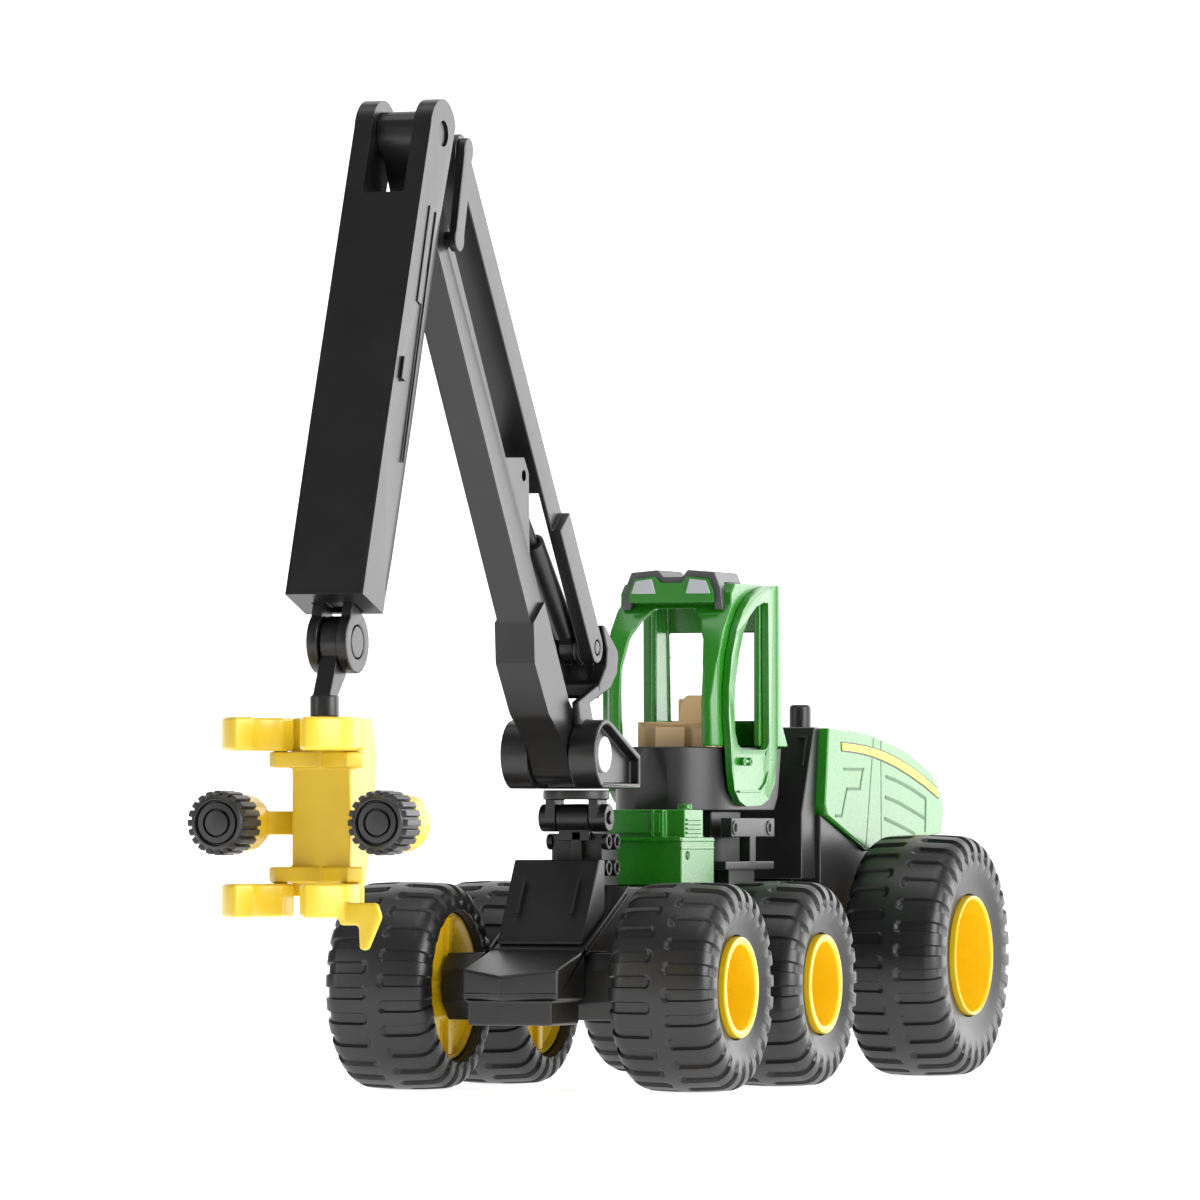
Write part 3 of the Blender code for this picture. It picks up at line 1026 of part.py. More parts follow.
def main():
    for item in list(bpy.data.objects):
        bpy.data.objects.remove(item)
    green = material("green", (0.13, 0.45, 0.07), 0.4)
    black = material("black", (0.035, 0.035, 0.04), 0.45)
    grey = material("grey", (0.12, 0.12, 0.13), 0.5)
    yellow = material("yellow", (0.9, 0.65, 0.05), 0.4)
    rubber = material("tyre", (0.03, 0.03, 0.03), 0.8)
    beige = material("beige", (0.75, 0.62, 0.4), 0.6)
    silver = material("silver", (0.75, 0.75, 0.75), 0.3)

    machine = bpy.data.objects.new("machine", None)
    bpy.context.collection.objects.link(machine)
    machine.location = (BOGIE_X, 0, 0)
    rear = pivot("articulation_joint", machine, at(PIVOT_X, 0, FRAME_TOP))
    wheels(rubber, yellow, machine, rear)
    axles(black, machine, rear)
    front_frame(black, machine)
    bumper(black, machine)
    crane_foot_cover(black, machine)
    front_box(green, machine)
    side_steps(black, machine)
    crane_pedestal(black, machine)

    cab_tub(black, machine)
    cab_shell(green, machine)
    visor(grey, machine)
    cab_interior(beige, machine)
    hinges = {side: pivot(f"{side}_door_hinge", machine, at(HINGE_X, sign * HINGE_Y, CAB_SILL_Z))
              for side, sign in SIDES}
    doors(green, hinges)

    rear_axle = at(-WHEELBASE, 0, 0)
    rear_frame(black, rear, rear_axle)
    bulkhead(black, rear, rear_axle)
    hood(green, rear, rear_axle)
    engine(grey, rear, rear_axle)
    exhaust(black, rear, rear_axle)
    tail_panel(grey, rear, rear_axle)
    crane(black, silver, yellow, grey, machine)


main()
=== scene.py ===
import json
import math

import bmesh
import bpy
from mathutils import Matrix, Vector


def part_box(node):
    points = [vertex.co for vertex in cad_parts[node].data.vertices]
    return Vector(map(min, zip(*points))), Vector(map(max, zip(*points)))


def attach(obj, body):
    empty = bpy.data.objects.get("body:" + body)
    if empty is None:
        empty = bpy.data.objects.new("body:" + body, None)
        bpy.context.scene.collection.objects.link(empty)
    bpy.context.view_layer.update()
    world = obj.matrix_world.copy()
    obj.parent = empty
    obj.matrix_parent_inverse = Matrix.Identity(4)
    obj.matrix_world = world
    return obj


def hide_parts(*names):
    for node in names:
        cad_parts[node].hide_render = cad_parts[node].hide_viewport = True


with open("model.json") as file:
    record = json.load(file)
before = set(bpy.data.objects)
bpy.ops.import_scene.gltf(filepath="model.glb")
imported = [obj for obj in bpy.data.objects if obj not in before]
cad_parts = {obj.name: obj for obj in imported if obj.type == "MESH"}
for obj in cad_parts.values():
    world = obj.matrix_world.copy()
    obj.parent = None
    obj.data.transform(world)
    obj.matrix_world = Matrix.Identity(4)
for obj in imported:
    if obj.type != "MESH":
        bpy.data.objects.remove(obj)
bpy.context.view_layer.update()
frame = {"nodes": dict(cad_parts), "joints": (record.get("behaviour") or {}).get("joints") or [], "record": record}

MM = 0.001
BODY_OF = {node: body for body, nodes in frame["record"]["behaviour"]["bodies"].items()
           for node in nodes}


class Wire:
    """A socket in a material, with arithmetic."""

    def __init__(self, tree, socket):
        self.tree = tree
        self.socket = socket

    def node(self, kind, settings=None, **inputs):
        """Add a node. An input is named by its label, or as i0, i1 where labels repeat."""
        made = self.tree.nodes.new(kind)
        for key, value in (settings or {}).items():
            if key == "stops":
                ramp = made.color_ramp
                while len(ramp.elements) < len(value):
                    ramp.elements.new(0.5)
                for element, (place, colour) in zip(ramp.elements, value):
                    element.position = place
                    element.color = (*colour, 1)
            else:
                setattr(made, key, value)
        for key, value in inputs.items():
            label = int(key[1:]) if key[1:].isdigit() else key.replace("_", " ")
            if isinstance(value, Wire):
                self.tree.links.new(value.socket, made.inputs[label])
            else:
                made.inputs[label].default_value = value
        return made

    def worked(self, operation, other):
        made = self.node("ShaderNodeMath", {"operation": operation}, i0=self, i1=other)
        return Wire(self.tree, made.outputs[0])

    def __add__(self, other):
        return self.worked("ADD", other)

    def __mul__(self, other):
        return self.worked("MULTIPLY", other)

    __radd__ = __add__
    __rmul__ = __mul__


def moulded(name, colour, rough, gloss=0.0, grain=0.12, mottle=0.10):
    """Moulded plastic: flow mottling in the colour, hazy patches and a fine grain."""
    mat = bpy.data.materials.new(name)
    mat.use_nodes = True
    tree = mat.node_tree
    shader = tree.nodes["Principled BSDF"]
    place = Wire(tree, tree.nodes.new("ShaderNodeTexCoord").outputs["Object"])

    def noise(scale, detail):
        made = place.node("ShaderNodeTexNoise", Vector=place, Scale=scale, Detail=detail)
        return Wire(tree, made.outputs["Fac"])

    flow, haze, fine = noise(38.0, 3.0), noise(150.0, 4.0), noise(2600.0, 2.0)
    dark = tuple(c * (1 - mottle) for c in colour)
    light = tuple(min(1, c * (1 + mottle) + 0.004) for c in colour)
    ramp = flow.node("ShaderNodeValToRGB", {"stops": [(0.3, dark), (0.7, light)]}, Fac=flow)
    tree.links.new(ramp.outputs["Color"], shader.inputs["Base Color"])
    roughness = rough - 0.025 + haze * 0.05
    tree.links.new(roughness.socket, shader.inputs["Roughness"])
    bump = fine.node("ShaderNodeBump", Height=fine, Strength=grain, Distance=0.0001)
    tree.links.new(bump.outputs["Normal"], shader.inputs["Normal"])
    shader.inputs["Coat Weight"].default_value = gloss
    shader.inputs["Coat Roughness"].default_value = 0.12
    return mat


def finished(name, bm, mat, body, keep_angle=38):
    """Make the bmesh a piece of its own that rides on a body."""
    mesh = bpy.data.meshes.new(name)
    bm.to_mesh(mesh)
    bm.free()
    mesh.materials.append(mat)
    mesh.shade_smooth()
    mesh.set_sharp_from_angle(angle=math.radians(keep_angle))
    piece = bpy.data.objects.new(name, mesh)
    bpy.context.collection.objects.link(piece)
    weighted = piece.modifiers.new("flat faces", "WEIGHTED_NORMAL")
    weighted.keep_sharp = True
    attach(piece, body)
    return piece


def eased(node, mat, radius=0.5, segments=2, panels=(), also=None):
    """A CAD piece with rounded edges, in its finish. Each panel is (direction, smallest
    face in square mm, border in mm, depth in mm): such faces are sunk inside a border."""
    bm = bmesh.new()
    bm.from_mesh(frame["nodes"][node].data)
    bmesh.ops.remove_doubles(bm, verts=bm.verts, dist=2e-6)
    bmesh.ops.join_triangles(bm, faces=bm.faces, angle_face_threshold=math.radians(0.5),
                             angle_shape_threshold=math.radians(180))
    if also:
        also(bm)
    for direction, least, border, depth in panels:
        way = Vector(direction).normalized()
        faces = [face for face in bm.faces
                 if face.normal.dot(way) > 0.9995 and face.calc_area() > least * MM * MM]
        if faces:
            bmesh.ops.inset_region(bm, faces=faces, thickness=border * MM, depth=-depth * MM,
                                   use_even_offset=True, use_boundary=True)
    sharp = [edge for edge in bm.edges
             if edge.is_manifold and edge.calc_face_angle() > math.radians(28)]
    bmesh.ops.bevel(bm, geom=sharp, offset=radius * MM, offset_type="OFFSET", affect="EDGES",
                    segments=segments, profile=0.5, material=-1, clamp_overlap=bool(panels))
    piece = finished("look_" + node, bm, mat, BODY_OF[node])
    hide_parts(node)
    return piece


black = moulded("satin_black_plastic", (0.0065, 0.0065, 0.007), 0.36, grain=0.05)
for node, radius in (("front_frame", 0.8), ("front_bumper", 1.2), ("crane_foot_cover", 0.8),
                     ("front_axle", 0.8), ("middle_axle", 0.8), ("rear_axle", 0.8),
                     ("left_step", 0.5), ("right_step", 0.5), ("rear_frame", 0.8),
                     ("crane_pedestal", 0.4), ("cab_tub", 0.7), ("exhaust_stack", 1.4),
                     ("rear_bulkhead", 0.7)):
    eased(node, black, radius)


# ---- Ribs and screw tubes of the chassis ---------------------------------------------
# Small features moulded in one with the black parts: ribs on the crane's foot cover and
# along the front frame's slope, a cross on the pedestal's front with four screw tubes on
# each of its sides, a ledge on top of the bumper, and two screw tubes on each step's rail.
def placed(point, nose_up=0.0):
    """A frame at a point in mm, turned nose up by an angle in degrees."""
    return (Matrix.Translation(Vector(point) * MM)
            @ Matrix.Rotation(-math.radians(nose_up), 4, "Y"))


def bar_block(bm, size, frame_matrix, radius=0.3):
    """A rounded block of the given size in mm, centred on a frame."""
    made = bmesh.ops.create_cube(bm, size=1, matrix=Matrix.Diagonal((*(s * MM for s in size), 1)))
    verts = made["verts"]
    edges = list({edge for vert in verts for edge in vert.link_edges})
    done = bmesh.ops.bevel(bm, geom=edges, offset=radius * MM, offset_type="OFFSET",
                           affect="EDGES", segments=2, profile=0.5, material=-1,
                           clamp_overlap=True)
    island = {vert for face in done["faces"] for vert in face.verts}
    island |= {vert for vert in verts if vert.is_valid}
    bmesh.ops.transform(bm, matrix=frame_matrix, verts=list(island))


def slab(bm, outline, low, high, axis="Y", radius=0.2):
    """A flat piece of the given outline between two depths, all in mm, edges eased."""
    place = {"Y": lambda a, b: (a, low, b), "Z": lambda a, b: (a, b, low),
             "X": lambda a, b: (low, a, b)}[axis]
    way = {"Y": (0, 1, 0), "Z": (0, 0, 1), "X": (1, 0, 0)}[axis]
    first = bm.faces.new([bm.verts.new(Vector(place(a, b)) * MM) for a, b in outline])
    made = bmesh.ops.extrude_face_region(bm, geom=[first])["geom"]
    top = [item for item in made if isinstance(item, bmesh.types.BMVert)]
    bmesh.ops.translate(bm, verts=top, vec=Vector(way) * (high - low) * MM)
    island = {face for vert in top for face in vert.link_faces} | {first}
    bmesh.ops.recalc_face_normals(bm, faces=list(island))
    if radius:
        edges = list({edge for face in island for edge in face.edges})
        bmesh.ops.bevel(bm, geom=edges, offset=radius * MM, offset_type="OFFSET",
                        affect="EDGES", segments=2, profile=0.5, material=-1,
                        clamp_overlap=True)


def side_slab(bm, outline, side, near, far, radius=0.2):
    """A slab on the left (1) or right (-1) side, between two distances from the middle."""
    slab(bm, outline, *sorted((side * near, side * far)), radius=radius)


def tube(bm, centre, outer, inner, length, side):
    """A short tube standing out sideways from a face, closed at its foot."""
    chamfer, floor = 0.3, 0.6
    outline = [(0, outer), (length - chamfer, outer), (length, outer - chamfer),
               (length, inner + chamfer), (length - chamfer, inner), (floor, inner), (floor, 0)]
    before = set(bm.verts)
    verts = [bm.verts.new((0, side * y * MM, -r * MM)) for y, r in outline]
    edges = [bm.edges.new(pair) for pair in zip(verts, verts[1:])]
    bmesh.ops.spin(bm, geom=verts + edges, axis=(0, 1, 0), cent=(0, 0, 0), angle=2 * math.pi,
                   steps=24, use_merge=True)
    made = [vert for vert in bm.verts if vert not in before]
    bmesh.ops.translate(bm, verts=made, vec=Vector(centre) * MM)


FOOT_COVER_SLOPE = -58.6
FRAME_SIDE_Y = 19.6
UPPER_TRIM = [(14, 82.4), (63.6, 57.9), (63.0, 56.5), (13.4, 81)]
LOWER_TRIM = [(14.5, 79), (62, 55.6), (61.4, 54.6), (13.9, 78)]
PEDESTAL_SIDE_Y = 10.6
PEDESTAL_FRONT_X = 21.7
BUMPER_LEDGE = [(64.4, -19.9), (95.2, -19.9), (105.4, 0), (95.2, 19.9), (64.4, 19.9)]
BUMPER_TOP_Z = 39.2
details = bmesh.new()
for side in (1, -1):
    bar_block(details, (17, 1.5, 1.2), placed((52.6, side * 11.6, 78.4), FOOT_COVER_SLOPE))
    side_slab(details, UPPER_TRIM, side, FRAME_SIDE_Y, FRAME_SIDE_Y + 1.3, radius=0.3)
    side_slab(details, LOWER_TRIM, side, FRAME_SIDE_Y, FRAME_SIDE_Y + 1.0)
    for z in (100.3, 89.6):
        for x in (16.6, 7.2):
            tube(details, (x, side * PEDESTAL_SIDE_Y, z), 3.3, 1.9, 2.6, side)
bar_block(details, (2.0, 4.2, 22), placed((PEDESTAL_FRONT_X, 1.0, 93.5)), 0.4)
bar_block(details, (2.0, 13.2, 4.6), placed((PEDESTAL_FRONT_X, 0, 102.9)), 0.4)
slab(details, BUMPER_LEDGE, BUMPER_TOP_Z, BUMPER_TOP_Z + 0.8, "Z", 0.3)
bmesh.ops.recalc_face_normals(details, faces=details.faces)
finished("chassis_ribs", details, black, "chassis")

for name, side in (("left", 1), ("right", -1)):
    details = bmesh.new()
    for x in (-88.6, -130.5):
        tube(details, (x, side * 28.4, 106), 3.1, 1.7, 1.1, side)
    bmesh.ops.recalc_face_normals(details, faces=details.faces)
    finished(f"rail_tubes_{name}", details, black, BODY_OF[f"{name}_step"])


# ---- Tyres ---------------------------------------------------------------------------
# Soft black tyres, each moulded in one piece: a broad crown with two staggered rows of
# sunk, round-ended lug panels that run over the shoulders, and a dished side wall.
WHEELS = [(row, side, -1 if side == "right" else 1) for row in ("front", "middle", "rear")
          for side in ("left", "right")]
TYRE_R = {"front": 42, "middle": 42, "rear": 51.5}
RIM_R = {"front": 20.4, "middle": 20.4, "rear": 25.6}
PITCHES = {"front": 25, "middle": 25, "rear": 31}     # lug panels in one row
TYRE_WIDTH = 44.5
TYRE_MIDDLE = TYRE_WIDTH / 2
CROWN_DROP = 0.5             # how much lower the crown is at its edges than in the middle
SHOULDER_R = 7.5
PANEL_START = 5.4            # from the tyre's middle to where a panel has its full width
PANEL_ROUND = 2.8            # length of a panel's round end
PANEL_HALF = 0.25            # half a panel's width, as a share of the pitch
PANEL_EDGE = 7.0             # steepness of a panel's edge
PANEL_DEPTH = 1.25
PANEL_FOOT = 3.2             # how far below the shoulder a panel ends
PANEL_FADE = 2.2             # over which height it gets shallower there
SHOULDER_STEPS, CROWN_STEPS, STEPS_IN_PITCH = 11, 34, 16


def turned(outline, steps, closed=False):
    """Spin an outline of (distance along the axle, radius) in mm round the axle, along Y."""
    bm = bmesh.new()
    verts = [bm.verts.new((0, y * MM, -r * MM)) for y, r in outline]
    edges = [bm.edges.new(pair)
             for pair in zip(verts, verts[1:] + (verts[:1] if closed else []))]
    bmesh.ops.spin(bm, geom=verts + edges, axis=(0, 1, 0), cent=(0, 0, 0), angle=2 * math.pi,
                   steps=steps, use_merge=True)
    bmesh.ops.remove_doubles(bm, verts=bm.verts, dist=1e-6)
    bmesh.ops.recalc_face_normals(bm, faces=bm.faces)
    return bm


def put_on_wheel(bm, row, side, sign):
    """Turn and move a part drawn on the left wheel's axle line to its own wheel."""
    low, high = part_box(f"{row}_{side}_tyre")
    if sign < 0:
        bmesh.ops.scale(bm, vec=(1, -1, 1), verts=bm.verts)
        bmesh.ops.reverse_faces(bm, faces=bm.faces)
    bmesh.ops.translate(bm, verts=bm.verts, vec=Vector((
        (low[0] + high[0]) / 2, low[1] if sign > 0 else high[1], (low[2] + high[2]) / 2)))


def panel_share(angle, across, pitches):
    """How far the crown is sunk at a place on it: 0 between the panels, 1 in a panel."""
    row = 0.0 if across > 0 else 0.5
    pitch = (angle / (2 * math.pi) * pitches + row) % 1.0 - 0.5
    beyond = max(0.0, PANEL_START - abs(across)) / PANEL_ROUND
    return min(1.0, max(0.0, (1.0 - math.hypot(pitch / PANEL_HALF, beyond)) * PANEL_EDGE))


def tyre_outline(tyre_r, rim_r):
    """Round the inner bead, the inner shoulder, the crown, the outer shoulder and wall."""
    wall = tyre_r - CROWN_DROP - SHOULDER_R
    outline = [(11.2, rim_r + 0.4), (9.4, rim_r + 0.4), (9.4, rim_r + 9.8), (1.2, rim_r + 9.8),
               (0.2, rim_r + 10.8)]
    for i in range(SHOULDER_STEPS + 1):
        a = math.pi / 2 * i / SHOULDER_STEPS
        outline.append((SHOULDER_R - SHOULDER_R * math.cos(a), wall + SHOULDER_R * math.sin(a)))
    flat = TYRE_MIDDLE - SHOULDER_R
    for i in range(1, CROWN_STEPS):
        across = flat * (2 * i / CROWN_STEPS - 1)
        outline.append((TYRE_MIDDLE + across, tyre_r - CROWN_DROP * (across / flat) ** 2))
    for i in range(SHOULDER_STEPS + 1):
        a = math.pi / 2 * (1 - i / SHOULDER_STEPS)
        outline.append((TYRE_WIDTH - SHOULDER_R + SHOULDER_R * math.cos(a),
                        wall + SHOULDER_R * math.sin(a)))
    drop = wall - rim_r
    for dish, share in ((0.1, 0.22), (0.9, 0.42), (2.1, 0.62), (2.9, 0.8)):
        outline.append((TYRE_WIDTH - dish, wall - share * drop))
    return outline + [(TYRE_WIDTH - 3.0, rim_r + 1.0), (TYRE_WIDTH - 3.4, rim_r + 0.4)]


def sink_panels(bm, tyre_r, pitches):
    """Push the lug panels into the crown and over the shoulders."""
    flat = TYRE_MIDDLE - SHOULDER_R
    foot = tyre_r - CROWN_DROP - SHOULDER_R - PANEL_FOOT
    for vert in bm.verts:
        x, y, z = vert.co / MM
        r = math.hypot(x, z)
        if r < foot:
            continue
        across = y - TYRE_MIDDLE
        angle = math.atan2(x, z) % (2 * math.pi)
        fade = min(1.0, (r - foot) / PANEL_FADE)
        out = Vector((x / r, 0, z / r))
        side = Vector((0, math.copysign(1, across), 0))
        lean = min(1.0, max(0.0, (abs(across) - flat) / SHOULDER_R))
        inward = -(out * (1 - lean) + side * lean).normalized()
        vert.co += inward * panel_share(angle, across, pitches) * fade * PANEL_DEPTH * MM


rubber = moulded("tyre_compound", (0.009, 0.009, 0.0095), 0.36, grain=0.05)
for row, side, sign in WHEELS:
    bm = turned(tyre_outline(TYRE_R[row], RIM_R[row]), PITCHES[row] * STEPS_IN_PITCH, closed=True)
    sink_panels(bm, TYRE_R[row], PITCHES[row])
    put_on_wheel(bm, row, side, sign)
    tyre = finished(f"tread_{row}_{side}", bm, rubber, f"{row}_{side}_wheel", 60)
    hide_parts(f"{row}_{side}_tyre")


# ---- Wheel rims ----------------------------------------------------------------------
# Golden yellow one-piece rims: a rolled outer lip, a deep dish and a small hub with its
# bolts. The inner disc carries four ribs, and the rear rims have a thinner lip and a
# long boss.
yellow = moulded("golden_rim_plastic", (0.78, 0.50, 0.005), 0.28, gloss=0.25, grain=0.03,
                 mottle=0.04)
RIM_OUTER_Y = 43.9           # from the tyre's inner face to the rim's outer lip
LIP = {"front": 3.4, "middle": 3.4, "rear": 1.9}
DISH = {"front": 24, "middle": 24, "rear": 25}
DISC_BEYOND_RIM = 9.4        # how much larger the inner disc is than the tyre's seat


def rim_outline(row):
    """From the hole for the axle stub, round the inner disc, to the middle of the hub."""
    rim_r = RIM_R[row]
    disc_r = rim_r + DISC_BEYOND_RIM
    mouth = rim_r - LIP[row]
    floor = RIM_OUTER_Y - DISH[row]
    outline = [(13.8, 0), (13.8, 4.3), (4.5, 4.3), (4.5, 12), (6.8, 15), (6.8, disc_r - 3),
               (4.7, disc_r - 1.6), (4.7, disc_r - 0.3), (5.1, disc_r), (8.6, disc_r),
               (9.0, disc_r - 0.3), (9.0, rim_r)]
    for back, r in ((1.0, rim_r), (0.3, rim_r - 0.3), (0, rim_r - 1.0), (0, mouth + 1.1),
                    (0.5, mouth + 0.3), (1.4, mouth), (DISH[row] * 0.5, mouth - 0.8)):
        outline.append((RIM_OUTER_Y - back, r))
    if row == "rear":
        hub = ((3, mouth - 2.2), (1, mouth - 4), (0, mouth - 6), (0, 11), (0.8, 10), (11, 9.4),
               (12, 8.8), (12.2, 7.6), (11, 6.8), (6, 6.4), (6, 0))
    else:
        hub = ((3, mouth - 1.4), (0.9, mouth - 2.6), (0, mouth - 4.6), (0, 8.4), (0.8, 7.8),
               (4.4, 7.2), (5, 6.6), (5, 3), (4.2, 2.6), (4.2, 0))
    return outline + [(floor + forward, r) for forward, r in hub]


for row, side, sign in WHEELS:
    bm = turned(rim_outline(row), 72)
    put_on_wheel(bm, row, side, sign)
    rim = finished(f"rim_look_{row}_{side}", bm, yellow, f"{row}_{side}_wheel", 40)
    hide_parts(f"{row}_{side}_rim")
    bm = bmesh.new()
    bolts, ring, seat = (8, 13.2, 0.6) if row == "rear" else (6, 5.2, 5.4)
    for i in range(bolts):
        turn = Matrix.Rotation(2 * math.pi * i / bolts, 4, "Y")
        spot = placed((ring, RIM_OUTER_Y - DISH[row] + seat, 0))
        bmesh.ops.create_cone(bm, cap_ends=True, segments=6, radius1=1.1 * MM, radius2=0.9 * MM,
                              depth=1.8 * MM,
                              matrix=turn @ spot @ Matrix.Rotation(math.pi / 2, 4, "X"))
    rib_start = 8
    rib_length = RIM_R[row] + 7.4 - rib_start
    for i in range(4):
        turn = Matrix.Rotation(math.pi / 2 * i, 4, "Y")
        spot = placed((rib_start + rib_length / 2, 5.8, 0))
        bar_block(bm, (rib_length, 2.6, 4.6), turn @ spot, 0.5)
    put_on_wheel(bm, row, side, sign)
    bmesh.ops.recalc_face_normals(bm, faces=bm.faces)
    finished(f"hub_bolts_{row}_{side}", bm, yellow, f"{row}_{side}_wheel", 40)


# ---- Crane ----------------------------------------------------------------------------
# Base, slewing head, boom, parallel bar, cylinder and stick: satin black mouldings with
# eased edges and sunk sides; only the boom's pin has a plain white head.
crane_black = moulded("crane_black_plastic", (0.0045, 0.0045, 0.005), 0.34, gloss=0.06,
                      grain=0.04)
pin_white = moulded("white_pin_plastic", (0.62, 0.63, 0.64), 0.30, grain=0.03, mottle=0.03)
for node, radius in (("crane_tilt_fork", 0.4), ("crane_head", 0.7), ("parallel_bar", 0.5),
                     ("boom_link", 0.4), ("lift_cylinder", 0.4), ("stick_extension", 0.6),
                     ("hanger", 0.5), ("lift_rod", 0.3), ("stick_pin", 0.3)):
    eased(node, crane_black, radius)
sides = [((0, 1, 0), 900, 1.5, 0.5), ((0, -1, 0), 900, 1.5, 0.5)]
boom_front = ((0.819, 0, -0.574), 1200, 1.0, 0.45)
stick_front = ((0.944, 0, 0.329), 600, 1.3, 0.5)
eased("main_boom", crane_black, 0.35, panels=[boom_front] + sides)
eased("stick", crane_black, 0.4, panels=[stick_front] + sides)
eased("boom_pin", pin_white, 0.5)

STICK_SLOPE = -70.8
STICK_RIBS = (((104, 0.9, 0.9), (84, 16.1, -2.4)), ((40, 0.9, 4.4), (52, 16.1, 2.6)),
              ((9, 1.6, 4.4), (102, 16.3, 9.5)))     # size, and place from the stick's pivot
stick_pivot = next(joint for joint in frame["joints"] if joint["name"] == "stick_swing")
stick_at = placed(Vector(stick_pivot["pos_m"]) / MM, STICK_SLOPE)
bm = bmesh.new()
for side in (1, -1):
    for size, (along, out, up) in STICK_RIBS:
        bar_block(bm, size, stick_at @ placed((along, side * out, up)))
finished("stick_ribs", bm, crane_black, "stick")

# ---- Harvester head ---------------------------------------------------------------------
# Golden yellow frame, claws and roller arms. Two feed rollers of grey plastic, with teeth
# round the outside and rings on their ends, turn on motors at the ends of the arms.
head_yellow = moulded("head_yellow_plastic", (0.72, 0.50, 0.022), 0.30, gloss=0.15, grain=0.03,
                      mottle=0.04)
for node, radius in (("head_frame", 0.8), ("upper_left_claw", 1.3), ("upper_right_claw", 1.3),
                     ("lower_left_claw", 1.3), ("lower_right_claw", 1.3),
                     ("left_roller_arm", 0.6), ("right_roller_arm", 0.6)):
    eased(node, head_yellow, radius)

roller_grey = moulded("feed_roller_grey", (0.024, 0.024, 0.026), 0.38, grain=0.05)
TEETH = 20
TOOTH_HEIGHT = 1.6
END_RINGS = ((1.8, 0), (0.6, 0.8), (0.2, 1.7), (0.3, 2.0), (2.8, 2.2), (2.8, 2.9), (0.8, 3.2),
             (0.6, 5.2), (2.6, 5.4), (2.6, 6.0), (0.5, 6.2), (0.2, 6.6))   # back, and inwards
for side in ("left", "right"):
    low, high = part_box(f"{side}_feed_roller")
    radius = (high[2] - low[2]) / 2 / MM
    length = (high[0] - low[0]) / MM
    core = radius - TOOTH_HEIGHT
    outline = [(8.4, 0), (8.4, 3.3), (0, 3.3), (0, core - 0.8), (0.8, core)]
    outline += [(length - back, core - inwards) for back, inwards in END_RINGS]
    bm = turned(outline + [(length - 0.2, 0)], 60)
    bmesh.ops.rotate(bm, verts=bm.verts, cent=(0, 0, 0),
                     matrix=Matrix.Rotation(-math.pi / 2, 3, "Z"))
    for i in range(TEETH):
        turn = Matrix.Rotation(2 * math.pi * i / TEETH, 4, "X")
        spot = placed((length / 2 - 0.4, 0, radius - 1.4))
        bar_block(bm, (length - 1.6, 2.5, 2.6), turn @ spot, 0.5)
    bmesh.ops.translate(bm, verts=bm.verts,
                        vec=(low[0], (low[1] + high[1]) / 2, (low[2] + high[2]) / 2))
    roller = finished(f"roller_{side}", bm, roller_grey, f"{side}_roller")
    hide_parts(f"{side}_feed_roller")

# ---- Cab ---------------------------------------------------------------------------------
# Green one-piece shell with two doors, each an arched frame with a sunk face, a round-ended
# handle and a rim line below its window. Two small lugs stand on each back post.
green = moulded("leaf_green_plastic", (0.013, 0.185, 0.006), 0.27, gloss=0.30, grain=0.006,
                mottle=0.03)
DOOR_FACE_Y = 26.8
HANDLE_Z = 133.5
WINDOW_SILL = [(-98, 121), (-124, 121.2), (-130.5, 124.4), (-134.6, 131)]


def ribbon(points, width):
    """The outline of a line of the given width along some points."""
    left, right = [], []
    for i, (x, z) in enumerate(points):
        back = points[max(0, i - 1)]
        ahead = points[min(len(points) - 1, i + 1)]
        run = Vector((ahead[0] - back[0], ahead[1] - back[1])).normalized() * width / 2
        left.append((x - run.y, z + run.x))
        right.append((x + run.y, z - run.x))
    return left + right[::-1]


eased("cab_shell", green, 0.8)
for name, side in (("left", 1), ("right", -1)):
    eased(f"{name}_door", green, 0.35, panels=[((0, side, 0), 60, 2.3, 0.9)])
    bm = bmesh.new()
    bar_block(bm, (8.5, 1.4, 1.5), placed((-104.5, side * (DOOR_FACE_Y + 1.5), HANDLE_Z)), 0.5)
    for x in (-100.6, -108.4):
        tube(bm, (x, side * (DOOR_FACE_Y + 0.2), HANDLE_Z), 1.7, 0.7, 2.4, side)
    side_slab(bm, ribbon(WINDOW_SILL, 1.0), side, DOOR_FACE_Y, DOOR_FACE_Y + 1.1)
    bmesh.ops.recalc_face_normals(bm, faces=bm.faces)
    finished(f"door_handle_{name}", bm, green, BODY_OF[f"{name}_door"])
bm = bmesh.new()
for side in (1, -1):
    for z, length in ((198.5, 7.0), (178.5, 6.0)):
        bmesh.ops.create_cone(bm, cap_ends=True, segments=20, radius1=2.3 * MM,
                              radius2=2.0 * MM, depth=length * MM,
                              matrix=placed((-148.7, side * 24.2, z), 90))
finished("cab_lugs", bm, green, "chassis")

# ---- Lamp visor --------------------------------------------------------------------------
# A grey frame with a dip in its top edge, a green brow sunk inside it and two plain pale
# lamp lenses clipped in at the corners.
visor_grey = moulded("visor_grey_plastic", (0.060, 0.062, 0.066), 0.36, grain=0.04)
lens = moulded("lamp_lens_grey", (0.42, 0.43, 0.45), 0.22, gloss=0.3, grain=0.03, mottle=0.03)
BROW_HALF = [(18.9, 199.6), (18.4, 205), (16.2, 209.6), (7.2, 210.6), (4.8, 207.9)]
LENS = [(17.6, 203.3), (15.6, 208.7), (8.4, 209.6), (6.6, 203.3)]
eased("visor", visor_grey, 0.5)
bm = bmesh.new()
slab(bm, BROW_HALF + [(-y, z) for y, z in BROW_HALF[::-1]], -92.2, -90.6, "X", 0.4)
finished("visor_brow", bm, green, "chassis")
bm = bmesh.new()
for side in (1, -1):
    slab(bm, [(side * y, z) for y, z in LENS], -91.4, -90.0, "X", 0.4)
